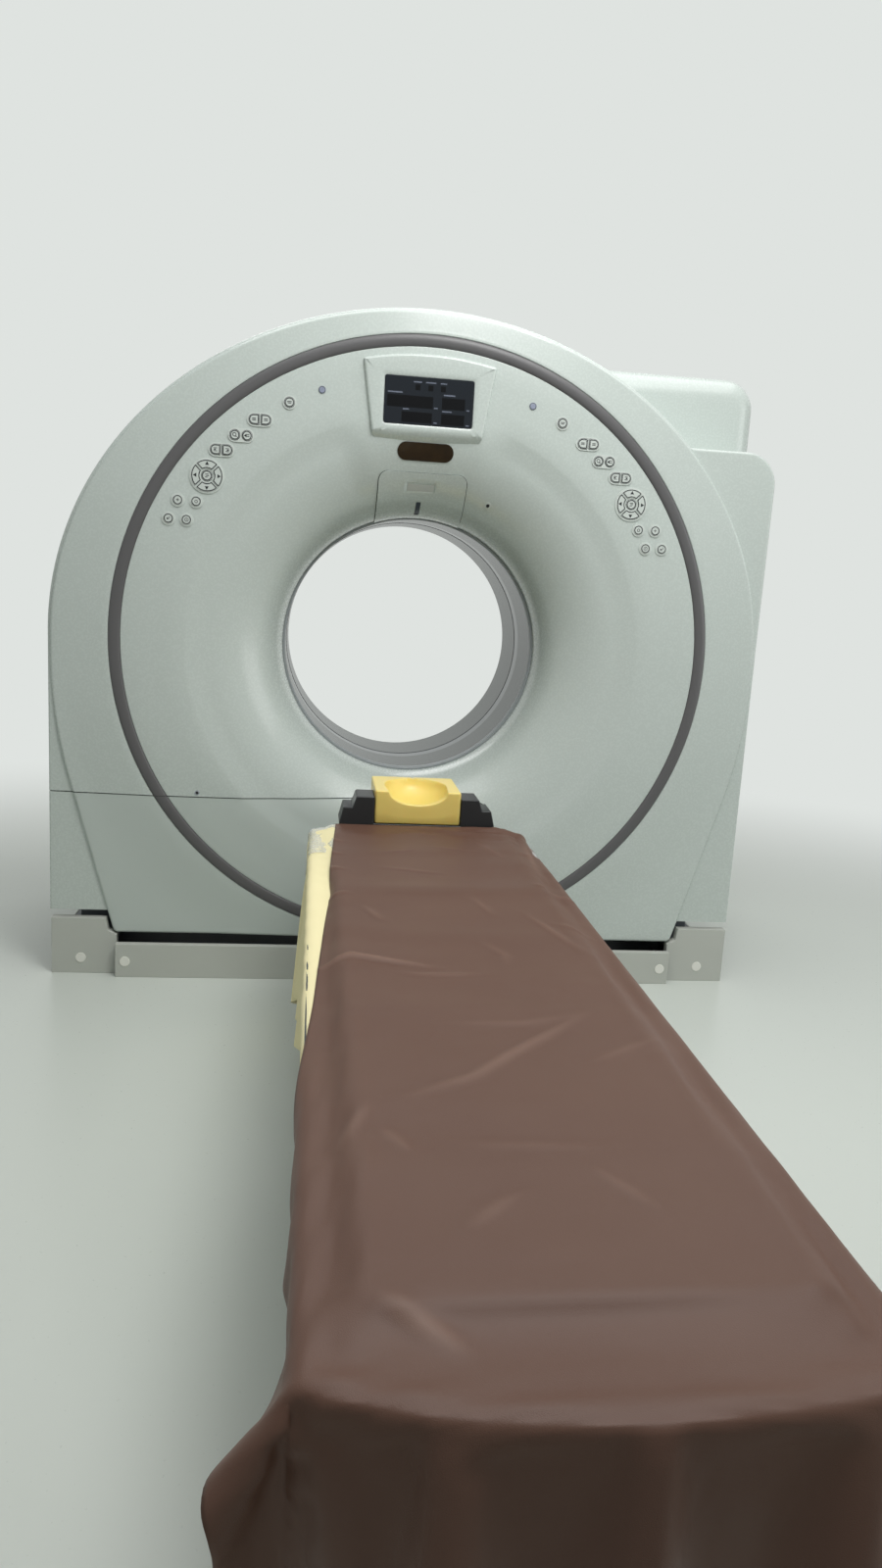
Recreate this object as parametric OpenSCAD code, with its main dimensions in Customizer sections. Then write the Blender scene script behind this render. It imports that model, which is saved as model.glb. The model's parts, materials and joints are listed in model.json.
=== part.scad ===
// Computed tomography scanner: tilting gantry with a rotating source ring,
// and a patient table whose top rises and runs into the bore.
// Millimetres. X is to the right, Y runs along the bore away from the table, Z is up.
// The origin is on the floor, straight below the middle of the bore.

/* [Gantry] */
// Height of the bore axis above the floor
iso_h = 980; // [960:5:1040]
// Depth of the covers from the front face to the rear face
gantry_d = 980; // [960:5:1040]
// Half width of the round front face
arch_a = 1008; // [1000:1:1030]
// Height of the top of the round front face above the bore axis
arch_b = 913; // [900:1:940]
// How far the cover shell stands out past the front face all round
shell_out = 8; // [4:1:12]
// Wall of the moulded covers
cover_t = 5; // [4:0.5:7]
// Gap between the floor and the lower edge of the front face
face_gap = 123; // [121:1:140]
// Gap between the floor and the lower edge of the side covers
side_gap = 188; // [186:1:205]

/* [Face] */
// Inner radius of the patient tunnel
bore_r = 378; // [360:1:385]
// Radius where the flat face starts to curve into the tunnel
bell_r = 650; // [620:5:660]
// How far the face curves back to the tunnel
bell_d = 225; // [200:5:240]
// Inner radius of the dark trim ring
ring_r = 818; // [810:1:830]
// Width of the dark trim ring
ring_w = 32; // [24:1:36]
// How far the trim ring bulges out of the face
ring_bulge = 6; // [3:1:9]
// How far the outer band of the face falls back to its edge
band_fall = 14; // [8:1:20]
// Height above the floor of the seam over the lower service cover
seam_h = 535; // [515:5:560]
// How far the seam runs past the middle to the right
seam_x = 235; // [200:5:260]
// Gap at the seam
seam_gap = 3; // [2:0.5:5]

/* [Shoulder housing] */
// Outer face of the lower shoulder, from the middle
low_shoulder_x = 1020; // [1020:1:1040]
// Top of the lower shoulder above the bore axis
low_shoulder_z = 612; // [580:4:640]
// Corner radius of both shoulders
shoulder_r = 92; // [60:4:110]
// Outer face of the upper shoulder, from the middle
up_shoulder_x = 1008; // [990:2:1012]
// Top of the upper shoulder above the bore axis
up_shoulder_z = 845; // [810:5:860]
// Front of the upper shoulder, in front of the scan plane
up_shoulder_front = 300; // [240:10:340]

/* [Display and panels] */
// Half width of the display bezel at its foot
bezel_foot = 150; // [140:1:160]
// Half width of the display bezel at its top
bezel_top = 182; // [170:1:190]
// Height of the foot of the bezel above the bore axis
bezel_z = 571; // [568:1:580]
// How far the bezel stands out of the face
bezel_t = 12; // [8:1:16]
// Half width of the display glass
glass_w = 122; // [110:1:126]
// Height of the display glass
glass_h = 124; // [110:1:128]
// Length of the oval status window
window_l = 156; // [140:2:170]
// Height of the oval status window
window_h = 48; // [40:2:50]
// Half width of the alignment light panel
panel_w = 124; // [110:2:130]
// Top of the alignment light panel above the bore axis
panel_z = 492; // [480:2:500]

/* [Keys] */
// Radius of a round key
key_r = 13.2; // [11:0.2:14]
// How far a key travels
key_travel = 1.5; // [1:0.1:1.8]
// Running clearance round a key
key_gap = 0.6; // [0.4:0.1:0.8]
// Width of the raised rim round a key
rim_w = 5; // [4:0.5:6]
// Distance between the middles of two paired keys
pair_pitch = 33; // [32:0.5:36]
// Outer radius of the arrow key ring
arrow_r = 42; // [38:1:44]
// Radius of the centre key of the arrow ring
centre_r = 14; // [12:0.5:15]

/* [Base] */
// Half width of the front skirt
skirt_w = 826; // [810:1:840]
// Height of the front skirt
skirt_h = 100; // [90:1:102]
// Half width of the corner foot blocks
foot_w = 1010; // [1000:1:1016]
// Height of the corner foot blocks
foot_h = 167; // [155:1:169]
// Depth of a corner foot block
foot_d = 28; // [20:1:29]
// Height of the side rails and side skirts
rail_h = 80; // [60:2:84]
// Radius of the tilt trunnion pins
trunnion_r = 60; // [50:1:70]
// Running clearance of the trunnions in their bearings
trunnion_gap = 0.05; // [0.02:0.01:0.08]

/* [Rotor] */
// Outer radius of the rotating drum
drum_r = 780; // [760:5:785]
// Radius of the source focus from the bore axis
focus_r = 620; // [600:5:630]
// Radius of the source housing
tube_r = 95; // [80:1:100]
// Distance from the source focus to the detector row
focus_to_detector = 1040; // [1030:5:1060]
// Half of the fan angle
fan_half = 25; // [20:1:27]
// Outer radius of the rotor sleeve in the main bearing
sleeve_r = 460; // [450:1:470]
// Running clearance of the sleeve in the main bearing
sleeve_gap = 0.05; // [0.02:0.01:0.08]

/* [Table] */
// Height of the covered table top above the floor, at its lowest
top_h = 542; // [520:1:560]
// Distance from the scan plane to the head end of the table top
head_y = 792; // [780:2:840]
// Length of the table top
top_l = 2038; // [1900:2:2060]
// Half width of the cradle
cradle_w = 280; // [270:1:284]
// Height of the cradle section at its middle
cradle_h = 50; // [40:1:54]
// How far the foot end of the cradle bows out
foot_bow = 50; // [30:2:60]
// Thickness of the mattress
mattress_t = 16.5; // [12:0.5:22]
// Half width of the mattress
mattress_w = 222; // [200:2:240]
// Half width of the inner pedestal stage
stage_w = 200; // [180:2:210]
// Half length of the inner pedestal stage
stage_l = 520; // [480:5:560]
// Wall of the pedestal stages
stage_t = 5; // [4:0.5:8]
// Sliding clearance between pedestal stages
stage_gap = 0.4; // [0.3:0.1:0.8]
// How far the table top rises
lift_travel = 400; // [360:5:410]
// Half width of the head rest
rest_w = 114; // [100:1:115]
// Length of the head rest
rest_l = 216; // [200:2:220]
// Height of the head rest
rest_h = 88; // [80:1:92]
// Radius of the hollow for the head
scoop_r = 86; // [74:1:92]

/* [Covers on the table] */
// How far the sheet hangs at the right side
side_hang = 250; // [200:5:300]
// How far the sheet hangs at the left side, near the foot end
left_hang = 100; // [60:5:110]
// How far the sheet hangs at the foot end
foot_hang = 135; // [100:5:180]
// How far the under-sheet hangs at the head end
under_hang = 480; // [400:10:500]
// Thickness of the sheet
sheet_t = 2.5; // [2:0.1:3]

/* [Hidden] */
$fn = 96;

// Planes and clearances that several pieces share
front_y = -gantry_d / 2;
rear_y = gantry_d / 2;
seat = 0.3;
eps = 1;
ring_out = ring_r + ring_w;
shell_front = front_y + band_fall + 10;
face_low = face_gap - iso_h;
side_low = side_gap - iso_h;
shell_a = arch_a + shell_out;
shell_b = arch_b + shell_out;

// Lower half of the round face: straight, then a wide curve, then a slope to the foot
turn_start = -60;
turn_radius = 1300;
turn_angle = 15.5;
turn_end_x = turn_radius * (1 - cos(turn_angle));
turn_end_z = turn_start - turn_radius * sin(turn_angle);
slope_x = (turn_end_z - face_low) * tan(turn_angle);

// Half ellipse, from the right over the top to the left
function arch_pts(a, b, n = 48) = [for (i = [0:n]) [a * cos(180 * i / n), b * sin(180 * i / n)]];

// Left side of the face below the axis, from the widest place down to the foot
function face_side(g) = concat(
  [for (i = [0:6]) let (t = turn_angle * i / 6)
    [arch_a + g - turn_radius * (1 - cos(t)), turn_start - turn_radius * sin(t)]],
  [[arch_a + g - turn_end_x - slope_x - g * tan(turn_angle), face_low - g]]
);
function face_outline(g) = concat(
  arch_pts(arch_a + g, arch_b + g),
  [for (p = face_side(g)) [-p[0], p[1]]],
  [for (i = [len(face_side(g)) - 1:-1:0]) face_side(g)[i]]
);

// Outline of the cover shell behind the face: the arch over two upright sides
function shell_outline(g, low) = concat(
  arch_pts(shell_a + g, shell_b + g), [[-shell_a - g, low], [shell_a + g, low]]
);
function ellipse_x(a, b, z) = a * sqrt(max(0, 1 - pow(z / b, 2)));
function ellipse_z(a, b, x) = b * sqrt(max(0, 1 - pow(x / a, 2)));

// Shoulder outline: a block with one round corner at the top right
function shoulder_pts(x0, x1, z0, z1, r, n = 10) = concat(
  [[x0, z0], [x1, z0]],
  [for (i = [0:n]) let (t = 90 * i / n) [x1 - r + r * cos(t), z1 - r + r * sin(t)]],
  [[x0, z1]]
);

// Draws a flat outline in the XZ plane, centred on the bore axis, from y0 to y1
module along_y(y0, y1) {
  translate([0, y1, iso_h]) rotate([90, 0, 0]) linear_extrude(y1 - y0) children();
}
// Turns a profile of [radius, y] points round the bore axis
module round_bore(pts) {
  translate([0, 0, iso_h]) rotate([-90, 0, 0]) rotate_extrude($fn = 144) polygon(pts);
}
module tube_y(r0, r1, y0, y1) {
  along_y(y0, y1) difference() {
    circle(r1);
    circle(r0);
  }
}
module both_sides() {
  children();
  mirror([1, 0, 0]) children();
}
module front_and_rear() {
  children();
  mirror([0, 1, 0]) children();
}
module box(x0, x1, y0, y1, z0, z1) {
  translate([x0, y0, z0]) cube([x1 - x0, y1 - y0, z1 - z0]);
}
module disc_x(r, x0, x1, y = 0, z = 0) {
  translate([x0, y, z]) rotate([0, 90, 0]) cylinder(r = r, h = x1 - x0);
}

// Base on the floor

floor_t = 15;
rail_x0 = 870;
rail_x1 = foot_w - 6.3;
foot_y = front_y + 10;
block_back = foot_y + foot_d;
skirt_front = front_y - 21;
skirt_t = 4;
rail_front = skirt_front + skirt_t + seat;
tower_x0 = 885;
tower_x1 = 985;
tower_top_r = 110;
tower_foot = 200;
anchor_dx = 1600;
anchor_dy = 760;

// Four anchor holes through a plate on the floor
module anchor_holes(dx, dy, y, r, t) {
  for (sx = [-1, 1]) for (sy = [-1, 1]) translate([sx * dx / 2, y + sy * dy / 2, -eps]) cylinder(r = r, h = t + 2 * eps);
}
module base_frame() {
  color("dimgray") {
    difference() {
      union() {
        box(-rail_x0, rail_x0, block_back + seat, -block_back - seat, 0, floor_t);
        box(-skirt_w + seat, skirt_w - seat, front_y + 19, rear_y - 19, 0, floor_t);
      }
      anchor_holes(anchor_dx, anchor_dy, 0, 9, floor_t);
    }
    box(-skirt_w + seat, skirt_w - seat, rail_front, front_y + 20, 0, skirt_h - 10);
    box(-skirt_w + seat, skirt_w - seat, rear_y - 20, -rail_front, 0, skirt_h - 10);
    both_sides() difference() {
      box(rail_x0, rail_x1, block_back + seat, -block_back - seat, 0, rail_h);
      for (y = [-330, 330]) box(rail_x0 - eps, rail_x1 + eps, y - 60, y + 60, 25, rail_h - 20);
    }
  }
}

module trunnion_towers() {
  color("slategray") both_sides() {
    difference() {
      translate([tower_x0, 0, 0]) rotate([90, 0, 90]) linear_extrude(tower_x1 - tower_x0)
        polygon([
          [-tower_foot, rail_h], [tower_foot, rail_h], [tower_foot, rail_h + 40],
          [tower_top_r, iso_h - 60], [tower_top_r, iso_h + 60], [60, iso_h + tower_top_r],
          [-60, iso_h + tower_top_r], [-tower_top_r, iso_h + 60], [-tower_top_r, iso_h - 60],
          [-tower_foot, rail_h + 40]
        ]);
      // Pocket between the two webs of the welded tower
      for (z = [rail_h + 60, rail_h + 340]) box(tower_x0 + 14, tower_x1 - 14, -tower_foot, tower_foot, z, z + 240);
      disc_x(trunnion_r + trunnion_gap, tower_x0 - eps, tower_x1 + eps, 0, iso_h);
    }
  }
}

gearbox_x = 852;
motor_r = 52;
motor_y = 190;
module tilt_gearbox() {
  color("darkslategray") difference() {
    union() {
      disc_x(100, gearbox_x, tower_x0, 0, iso_h);
      box(gearbox_x, tower_x0, -70, 70, iso_h - 260, iso_h);
      box(gearbox_x, tower_x0, -245, 70, iso_h - 260, iso_h - 150);
      disc_x(motor_r, tower_x0 - eps, tower_x1, -motor_y, iso_h - 205);
    }
    disc_x(trunnion_r + seat, gearbox_x - eps, tower_x0 + eps, 0, iso_h);
  }
}

module skirt_wall(h) {
  box(-skirt_w, skirt_w, skirt_front, skirt_front + skirt_t, 0, h);
  box(-skirt_w, skirt_w, skirt_front, front_y, h - skirt_t, h);
  both_sides() box(skirt_w - skirt_t, skirt_w, skirt_front, front_y, 0, h);
}
// The skirt's returns go round the front rail, so its ends are let into the rail
module front_skirt() {
  color("#A6A69E") difference() {
    skirt_wall(skirt_h);
    box(-skirt_w + skirt_t, skirt_w - skirt_t, rail_front - seat, front_y + eps, -eps, skirt_h - skirt_t);
    both_sides() box(skirt_w - skirt_t - eps, skirt_w + eps, rail_front - seat, front_y + eps, -eps, skirt_h - 10 + seat);
  }
}
module rear_skirt() {
  color("#A6A69E") {
    mirror([0, 1, 0]) difference() {
      skirt_wall(skirt_h);
      box(-skirt_w + skirt_t, skirt_w - skirt_t, rail_front - seat, front_y + eps, -eps, skirt_h - skirt_t);
      both_sides() box(skirt_w - skirt_t - eps, skirt_w + eps, rail_front - seat, front_y + eps, -eps, skirt_h - 10 + seat);
    }
    both_sides() box(rail_x1 + seat, foot_w - 1, block_back + seat, -block_back - seat, 0, rail_h);
  }
}

// Corner block with the inner edge cut down in a slope to the height of the skirt
module foot_blocks() {
  color("#A6A69E") front_and_rear() both_sides() difference() {
    translate([0, block_back, 0]) rotate([90, 0, 0]) linear_extrude(foot_d)
      polygon([
        [skirt_w + 1, 0], [foot_w, 0], [foot_w, foot_h], [skirt_w + 32, foot_h],
        [skirt_w + 26, foot_h - 36], [skirt_w + 1, skirt_h + 18]
      ]);
    translate([0, block_back + eps, 0]) rotate([90, 0, 0]) linear_extrude(foot_d - 4 + eps)
      polygon([
        [skirt_w + 6, -eps], [foot_w - 5, -eps], [foot_w - 5, foot_h - 4], [skirt_w + 36, foot_h - 4],
        [skirt_w + 31, foot_h - 40], [skirt_w + 6, skirt_h + 14]
      ]);
  }
}

cap_r = 15;
module cap_at(x, y, z) {
  translate([x, y, z]) rotate([90, 0, 0]) cylinder(r1 = cap_r, r2 = cap_r - 1, h = 2, $fn = 48);
}
module skirt_caps() {
  color("#D8D8D0") front_and_rear() both_sides() {
    cap_at(skirt_w - 27, skirt_front, skirt_h / 2 - 2);
    cap_at(foot_w - 82, foot_y, skirt_h / 2 - 3);
  }
}

// Tilting frame and its bearing

frame_r = 845;
arm_x0 = 815;
frame_y0 = 215;
frame_y1 = 255;
race_r = 500;
lug_gap = 0.9;

module tilt_frame() {
  color("gray") {
    difference() {
      union() {
        tube_y(race_r, frame_r, frame_y0, frame_y1);
        both_sides() box(arm_x0, frame_r, -100, frame_y1, iso_h - 140, iso_h + 140);
        // Lugs that carry the cover shell at the top and on both sides
        box(-40, 40, frame_y0 + 5, frame_y1 - 15, iso_h + frame_r - 10,
            iso_h + ellipse_z(shell_a - cover_t, shell_b - cover_t, 40) - lug_gap);
        both_sides() box(700, ellipse_x(shell_a - cover_t, shell_b - cover_t, 330) - lug_gap,
            frame_y0 + 5, frame_y1 - 15, iso_h + 270, iso_h + 330);
      }
      for (a = [30:30:360]) if (a % 90 != 0) translate([0, 0, iso_h]) rotate([0, a, 0])
        translate([670, frame_y1 + eps, 0]) rotate([90, 0, 0]) cylinder(r = 100, h = frame_y1 - frame_y0 + 2 * eps);
    }
    both_sides() disc_x(trunnion_r, frame_r - eps, tower_x1, 0, iso_h);
  }
}

module main_bearing() {
  color("lightsteelblue") {
    tube_y(sleeve_r + sleeve_gap, race_r - 0.05, frame_y0, frame_y1);
    tube_y(sleeve_r + 1, race_r + 22, frame_y1, frame_y1 + 6);
  }
}

// Covers that tilt with the gantry

// Points on the curve from the flat face into the tunnel, moved outwards by d
function bell_pts(d, n = 16) = [for (i = [0:n]) let (t = 90 * i / n)
  [bell_r - (bell_r - bore_r - 3 + d) * cos(t), front_y + bell_d - (bell_d + d) * sin(t)]];
function reversed(v) = [for (i = [len(v) - 1:-1:0]) v[i]];

module bell_sheet(d_out, d_in, r_out) {
  round_bore(concat(
    bell_pts(d_out), [[r_out, front_y - d_out], [r_out, front_y - d_in]], reversed(bell_pts(d_in))
  ));
}

// Key places on the flat face, right side: across from the middle and up from the axis
single_at = [375, 647];
upper_at = [452, 597];
mid_at = [501.5, 553];
low_at = [552.5, 512];
pad_at = [589.5, 442];
round_at = [[666, 374], [617, 373], [690, 324], [642, 323]];
lamp_at = [289, 686];
lamp_r = 10;
stem_r = 9;
half_pitch = pair_pitch / 2;
stem_places = concat(
  [single_at, pad_at],
  [for (p = [upper_at, mid_at, low_at]) for (s = [-1, 1]) [p[0] + s * half_pitch, p[1]]]
);

// Groove that the trim ring lies in: an inner wall and the floor of the groove
groove_floor = front_y + 24 + seat;
module dish() {
  bell_sheet(0, -cover_t, ring_r - seat);
  tube_y(ring_r - seat - cover_t, ring_r - seat, front_y + cover_t - eps, groove_floor);
  tube_y(ring_r - seat - cover_t, ring_out, groove_floor, groove_floor + 3);
}
seam_z = seam_h - iso_h;
module service_region(g) {
  box(-shell_a - 40, seam_x + g, front_y - 40, front_y + bell_d, 0, seam_h + g);
}
module dish_panel() {
  color("#C9D2CC") difference() {
    dish();
    service_region(seam_gap / 2);
    both_sides() {
      for (p = stem_places) translate([p[0], 0, p[1] + iso_h]) rotate([90, 0, 0])
        translate([0, 0, -front_y - cover_t - eps]) cylinder(r = stem_r + seat, h = cover_t + 2 * eps);
      translate([lamp_at[0], 0, lamp_at[1] + iso_h]) rotate([90, 0, 0])
        translate([0, 0, -front_y - cover_t - eps]) cylinder(r = lamp_r - 3 + seat, h = cover_t + 2 * eps);
    }
  }
}

// Rounded bead in the groove between the dish and the outer cover
module trim_ring() {
  color("#565656") round_bore(concat(
    [for (i = [0:12]) let (t = 180 * i / 12)
      [ring_r + ring_w / 2 - ring_w / 2 * cos(t), front_y + 2 - ring_bulge * sin(t)]],
    [[ring_out, front_y + 24], [ring_r, front_y + 24]]
  ));
}

// Outer band of the face: it falls back from the trim ring out to its edge, where a wall
// turns back all round
band_edge = arch_a - 5;
module band_turned(t) {
  round_bore([
    [ring_out + seat, front_y], [band_edge, front_y + band_fall], [arch_a + 300, front_y + band_fall],
    [arch_a + 300, front_y + band_fall + t], [band_edge, front_y + band_fall + t], [ring_out + seat, front_y + t]
  ]);
}
wall_back = shell_front + 16;
module face_band() {
  intersection() {
    along_y(front_y - eps, wall_back) polygon(face_outline(0));
    band_turned(cover_t);
  }
  intersection() {
    along_y(front_y - eps, wall_back) difference() {
      polygon(face_outline(0));
      polygon(face_outline(-cover_t));
    }
    band_turned(wall_back - front_y);
  }
  tube_y(ring_out + seat, ring_out + seat + cover_t, front_y + cover_t - eps, groove_floor + 3);
}
// The strips beside the lower half of the face, set back behind its edge
module side_strips(x_min, x_max, z_min, z_max) {
  intersection() {
    along_y(shell_front, shell_front + cover_t) difference() {
      polygon(shell_outline(0, side_low));
      polygon(face_outline(-cover_t / 2));
    }
    box(x_min, x_max, front_y, 0, iso_h + z_min, iso_h + z_max);
  }
}
module front_cover() {
  color("#C9D2CC") {
    difference() {
      face_band();
      service_region(seam_gap / 2);
    }
    side_strips(-1100, 0, seam_z + seam_gap / 2, 900);
    side_strips(0, 1100, -iso_h, 900);
  }
}
module lower_cover() {
  color("#C3CCC6") {
    intersection() {
      union() {
        face_band();
        dish();
        tube_y(ring_out - eps, ring_out + seat + eps, groove_floor, groove_floor + 3);
      }
      service_region(-seam_gap / 2);
    }
    side_strips(-1100, 0, -iso_h, seam_z - seam_gap / 2);
  }
}

shell_back = rear_y - 16;
module arch_shell() {
  color("#CDD6D0") along_y(shell_front + cover_t, shell_back) difference() {
    polygon(shell_outline(0, side_low));
    polygon(shell_outline(-cover_t, side_low - eps));
  }
}

// A cover in the shape of a shoulder, hollow and open towards the arch it sits on
module shoulder_shell(x0, x1, z0, z1, y0, y1) {
  difference() {
    along_y(y0, y1) difference() {
      polygon(shoulder_pts(x0, x1, z0, z1, shoulder_r));
      polygon(shell_outline(seat, side_low));
    }
    along_y(y0 + cover_t, y1 + eps) difference() {
      polygon(shoulder_pts(x0 - eps, x1 - cover_t, z0 - eps, z1 - cover_t, shoulder_r - cover_t));
      polygon(shell_outline(-eps, side_low));
    }
  }
}
module lower_shoulder() {
  color("#CDD6D0") shoulder_shell(620, low_shoulder_x, -20, low_shoulder_z, shell_front, shell_back);
}
module upper_shoulder() {
  color("#CDD6D0")
    shoulder_shell(380, up_shoulder_x, low_shoulder_z + seat, up_shoulder_z, -up_shoulder_front, shell_back);
}

rear_bell_r = 620;
tongue_in = 20;
rear_tunnel_y = 269;
rear_bell_d = rear_y - rear_tunnel_y;
function rear_pts(d, n = 16) = [for (i = [0:n]) let (t = 90 * i / n)
  [rear_bell_r - (rear_bell_r - bore_r - 17 + d) * cos(t), rear_tunnel_y + (rear_bell_d + d) * sin(t)]];
module rear_cover() {
  color("#CDD6D0") {
    round_bore(concat(
      rear_pts(0), [[730, rear_y], [760, shell_back + cover_t], [760, shell_back], [725, rear_y - cover_t]],
      reversed(rear_pts(-cover_t))
    ));
    along_y(shell_back, shell_back + cover_t) difference() {
      union() {
        polygon(shell_outline(0, side_low));
        polygon(face_outline(-tongue_in));
        polygon(shoulder_pts(620, low_shoulder_x, -20, low_shoulder_z, shoulder_r));
        polygon(shoulder_pts(380, up_shoulder_x, low_shoulder_z - 10, up_shoulder_z, shoulder_r));
      }
      circle(759);
    }
  }
}

liner_t = 4;
window_y = 35;
module bore_liner() {
  color("#DDE2DE") {
    tube_y(bore_r, bore_r + liner_t, front_y + bell_d, -window_y);
    tube_y(bore_r, bore_r + liner_t, window_y, rear_tunnel_y);
    tube_y(bore_r, bore_r + 17 + cover_t, rear_tunnel_y - cover_t, rear_tunnel_y);
  }
}
module bore_window() {
  color("#5A6068") tube_y(bore_r + 1, bore_r + 2.5, -window_y, window_y);
}

// Display, windows, keys

bezel_arc_r = 798;
function bezel_pts(g) = concat(
  [[-bezel_foot - g, bezel_z - g], [bezel_foot + g, bezel_z - g]],
  [for (i = [0:12]) let (x = (bezel_top + g) * (1 - i / 6)) [x, sqrt(pow(bezel_arc_r + g, 2) - x * x)]]
);
glass_z = bezel_z + 42;
glass_r = 6;
module round_rect(x0, x1, z0, z1, r) {
  translate([x0 + r, z0]) square([x1 - x0 - 2 * r, z1 - z0]);
  translate([x0, z0 + r]) square([x1 - x0, z1 - z0 - 2 * r]);
  for (x = [x0 + r, x1 - r]) for (z = [z0 + r, z1 - r]) translate([x, z]) circle(r, $fn = 32);
}
bezel_bevel = 22;
module display_bezel() {
  color("#D5DDD8") difference() {
    along_y(front_y - bezel_t, front_y) polygon(bezel_pts(0));
    // Slanted underside
    translate([-bezel_top - 50, front_y, iso_h + bezel_z]) rotate([atan(bezel_bevel / bezel_t) - 90, 0, 0])
      translate([0, -60, -60]) cube([2 * bezel_top + 100, 120, 60]);
    along_y(front_y - bezel_t - eps, front_y - bezel_t + 3) round_rect(-glass_w, glass_w, glass_z, glass_z + glass_h, glass_r);
  }
}
module display_glass() {
  color("#252B38") along_y(front_y - bezel_t - 0.5, front_y - bezel_t + 3)
    round_rect(-glass_w + seat, glass_w - seat, glass_z + seat, glass_z + glass_h - seat, glass_r);
}

window_z = 546;
module stadium(l, h) {
  square([l - h, h], center = true);
  for (s = [-1, 1]) translate([s * (l - h) / 2, 0]) circle(h / 2, $fn = 48);
}
module status_window() {
  color("#2E2C28") intersection() {
    bell_sheet(1.8, seat, bell_r + 20);
    along_y(front_y - 20, front_y + bell_d) translate([0, window_z]) stadium(window_l, window_h);
  }
}
panel_low = 330;
module light_panel() {
  color("#CBD3CD") difference() {
    intersection() {
      bell_sheet(3.5, seat, bell_r);
      along_y(front_y - 20, front_y + bell_d - 12) round_rect(-panel_w, panel_w, panel_low, panel_z, 26);
    }
    // Shallow label recess and the slot of the alignment light
    intersection() {
      bell_sheet(6, 1.8, bell_r);
      along_y(front_y - 20, front_y + bell_d) translate([-4, 455]) square([80, 22], center = true);
    }
    along_y(front_y - 20, front_y + bell_d) translate([-4, 402]) square([14, 32], center = true);
  }
}

rim_t = 2.8;
cap_back = front_y - key_travel - 0.5;
cap_front = cap_back - 2.5;
module key_plate(y0, y1) {
  translate([0, y1, 0]) rotate([90, 0, 0]) linear_extrude(y1 - y0) children();
}
module at_face(s, p) {
  translate([s * p[0], 0, iso_h + p[1]]) children();
}
// Half of a capsule shape, the flat side towards its twin
module d_shape(s, g) {
  translate([s * half_pitch, 0]) circle(key_r + g, $fn = 48);
  translate([s > 0 ? 2.6 - g : -half_pitch, -key_r - g]) square([half_pitch - 2.6 + g, 2 * (key_r + g)]);
}
module stem(x) {
  translate([x, 0, 0]) key_plate(cap_back - eps, front_y + cover_t + seat + 1) circle(stem_r);
  translate([x, 0, 0]) key_plate(front_y + cover_t + seat, front_y + cover_t + seat + 2) circle(stem_r + 3);
}
module round_key(s, p, r, x = 0) {
  color("#C6CEC9") at_face(s, p) {
    key_plate(cap_front, cap_back) translate([x, 0]) circle(r, $fn = 48);
    stem(x);
  }
}
module d_key(s, p, side) {
  color("#C6CEC9") at_face(s, p) {
    key_plate(cap_front, cap_back) d_shape(side, 0);
    stem(side * half_pitch);
  }
}
module rim_plate() {
  key_plate(front_y - rim_t, front_y) difference() {
    children(0);
    children(1);
  }
}
arrow_in = centre_r + 5;
module arrow_segments() {
  difference() {
    circle(arrow_r);
    circle(arrow_in);
    for (a = [45, -45]) rotate(a) square([3, 3 * arrow_r], center = true);
  }
}
module key_rims() {
  color("#D2DAD5") for (s = [-1, 1]) {
    at_face(s, single_at) rim_plate() {
      circle(key_r + rim_w);
      circle(key_r + key_gap);
    }
    for (p = [upper_at, low_at]) at_face(s, p) rim_plate() {
      stadium(pair_pitch + 2 * (key_r + rim_w), 2 * (key_r + rim_w));
      for (d = [-1, 1]) d_shape(d, key_gap);
    }
    at_face(s, mid_at) rim_plate() {
      stadium(pair_pitch + 2 * (key_r + rim_w), 2 * (key_r + rim_w));
      for (d = [-1, 1]) translate([d * half_pitch, 0]) circle(key_r + key_gap);
    }
    // Arrow keys and the four round keys are one moulding with their rims
    at_face(s, pad_at) {
      rim_plate() {
        circle(arrow_r + rim_w);
        circle(centre_r + key_gap);
      }
      key_plate(cap_front, front_y - rim_t + 0.5) arrow_segments();
    }
    for (p = round_at) at_face(s, p) {
      key_plate(front_y - rim_t, front_y) circle(key_r + rim_w);
      key_plate(cap_front, front_y - rim_t + 0.5) circle(key_r);
    }
  }
}
module indicator_lamps() {
  color("#8E96A8") both_sides() at_face(1, lamp_at) {
    key_plate(front_y - 2, front_y) circle(lamp_r, $fn = 48);
    key_plate(front_y - 2, front_y + cover_t + 4) circle(lamp_r - 3, $fn = 48);
  }
}
module key_l_single() { round_key(-1, single_at, key_r); }
module key_l_upper_a() { d_key(-1, upper_at, -1); }
module key_l_upper_b() { d_key(-1, upper_at, 1); }
module key_l_mid_a() { round_key(-1, mid_at, key_r, -half_pitch); }
module key_l_mid_b() { round_key(-1, mid_at, key_r, half_pitch); }
module key_l_low_a() { d_key(-1, low_at, -1); }
module key_l_low_b() { d_key(-1, low_at, 1); }
module key_l_centre() { round_key(-1, pad_at, centre_r); }
module key_r_single() { round_key(1, single_at, key_r); }
module key_r_upper_a() { d_key(1, upper_at, -1); }
module key_r_upper_b() { d_key(1, upper_at, 1); }
module key_r_mid_a() { round_key(1, mid_at, key_r, -half_pitch); }
module key_r_mid_b() { round_key(1, mid_at, key_r, half_pitch); }
module key_r_low_a() { d_key(1, low_at, -1); }
module key_r_low_b() { d_key(1, low_at, 1); }
module key_r_centre() { round_key(1, pad_at, centre_r); }

// Rotor inside the covers

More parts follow.
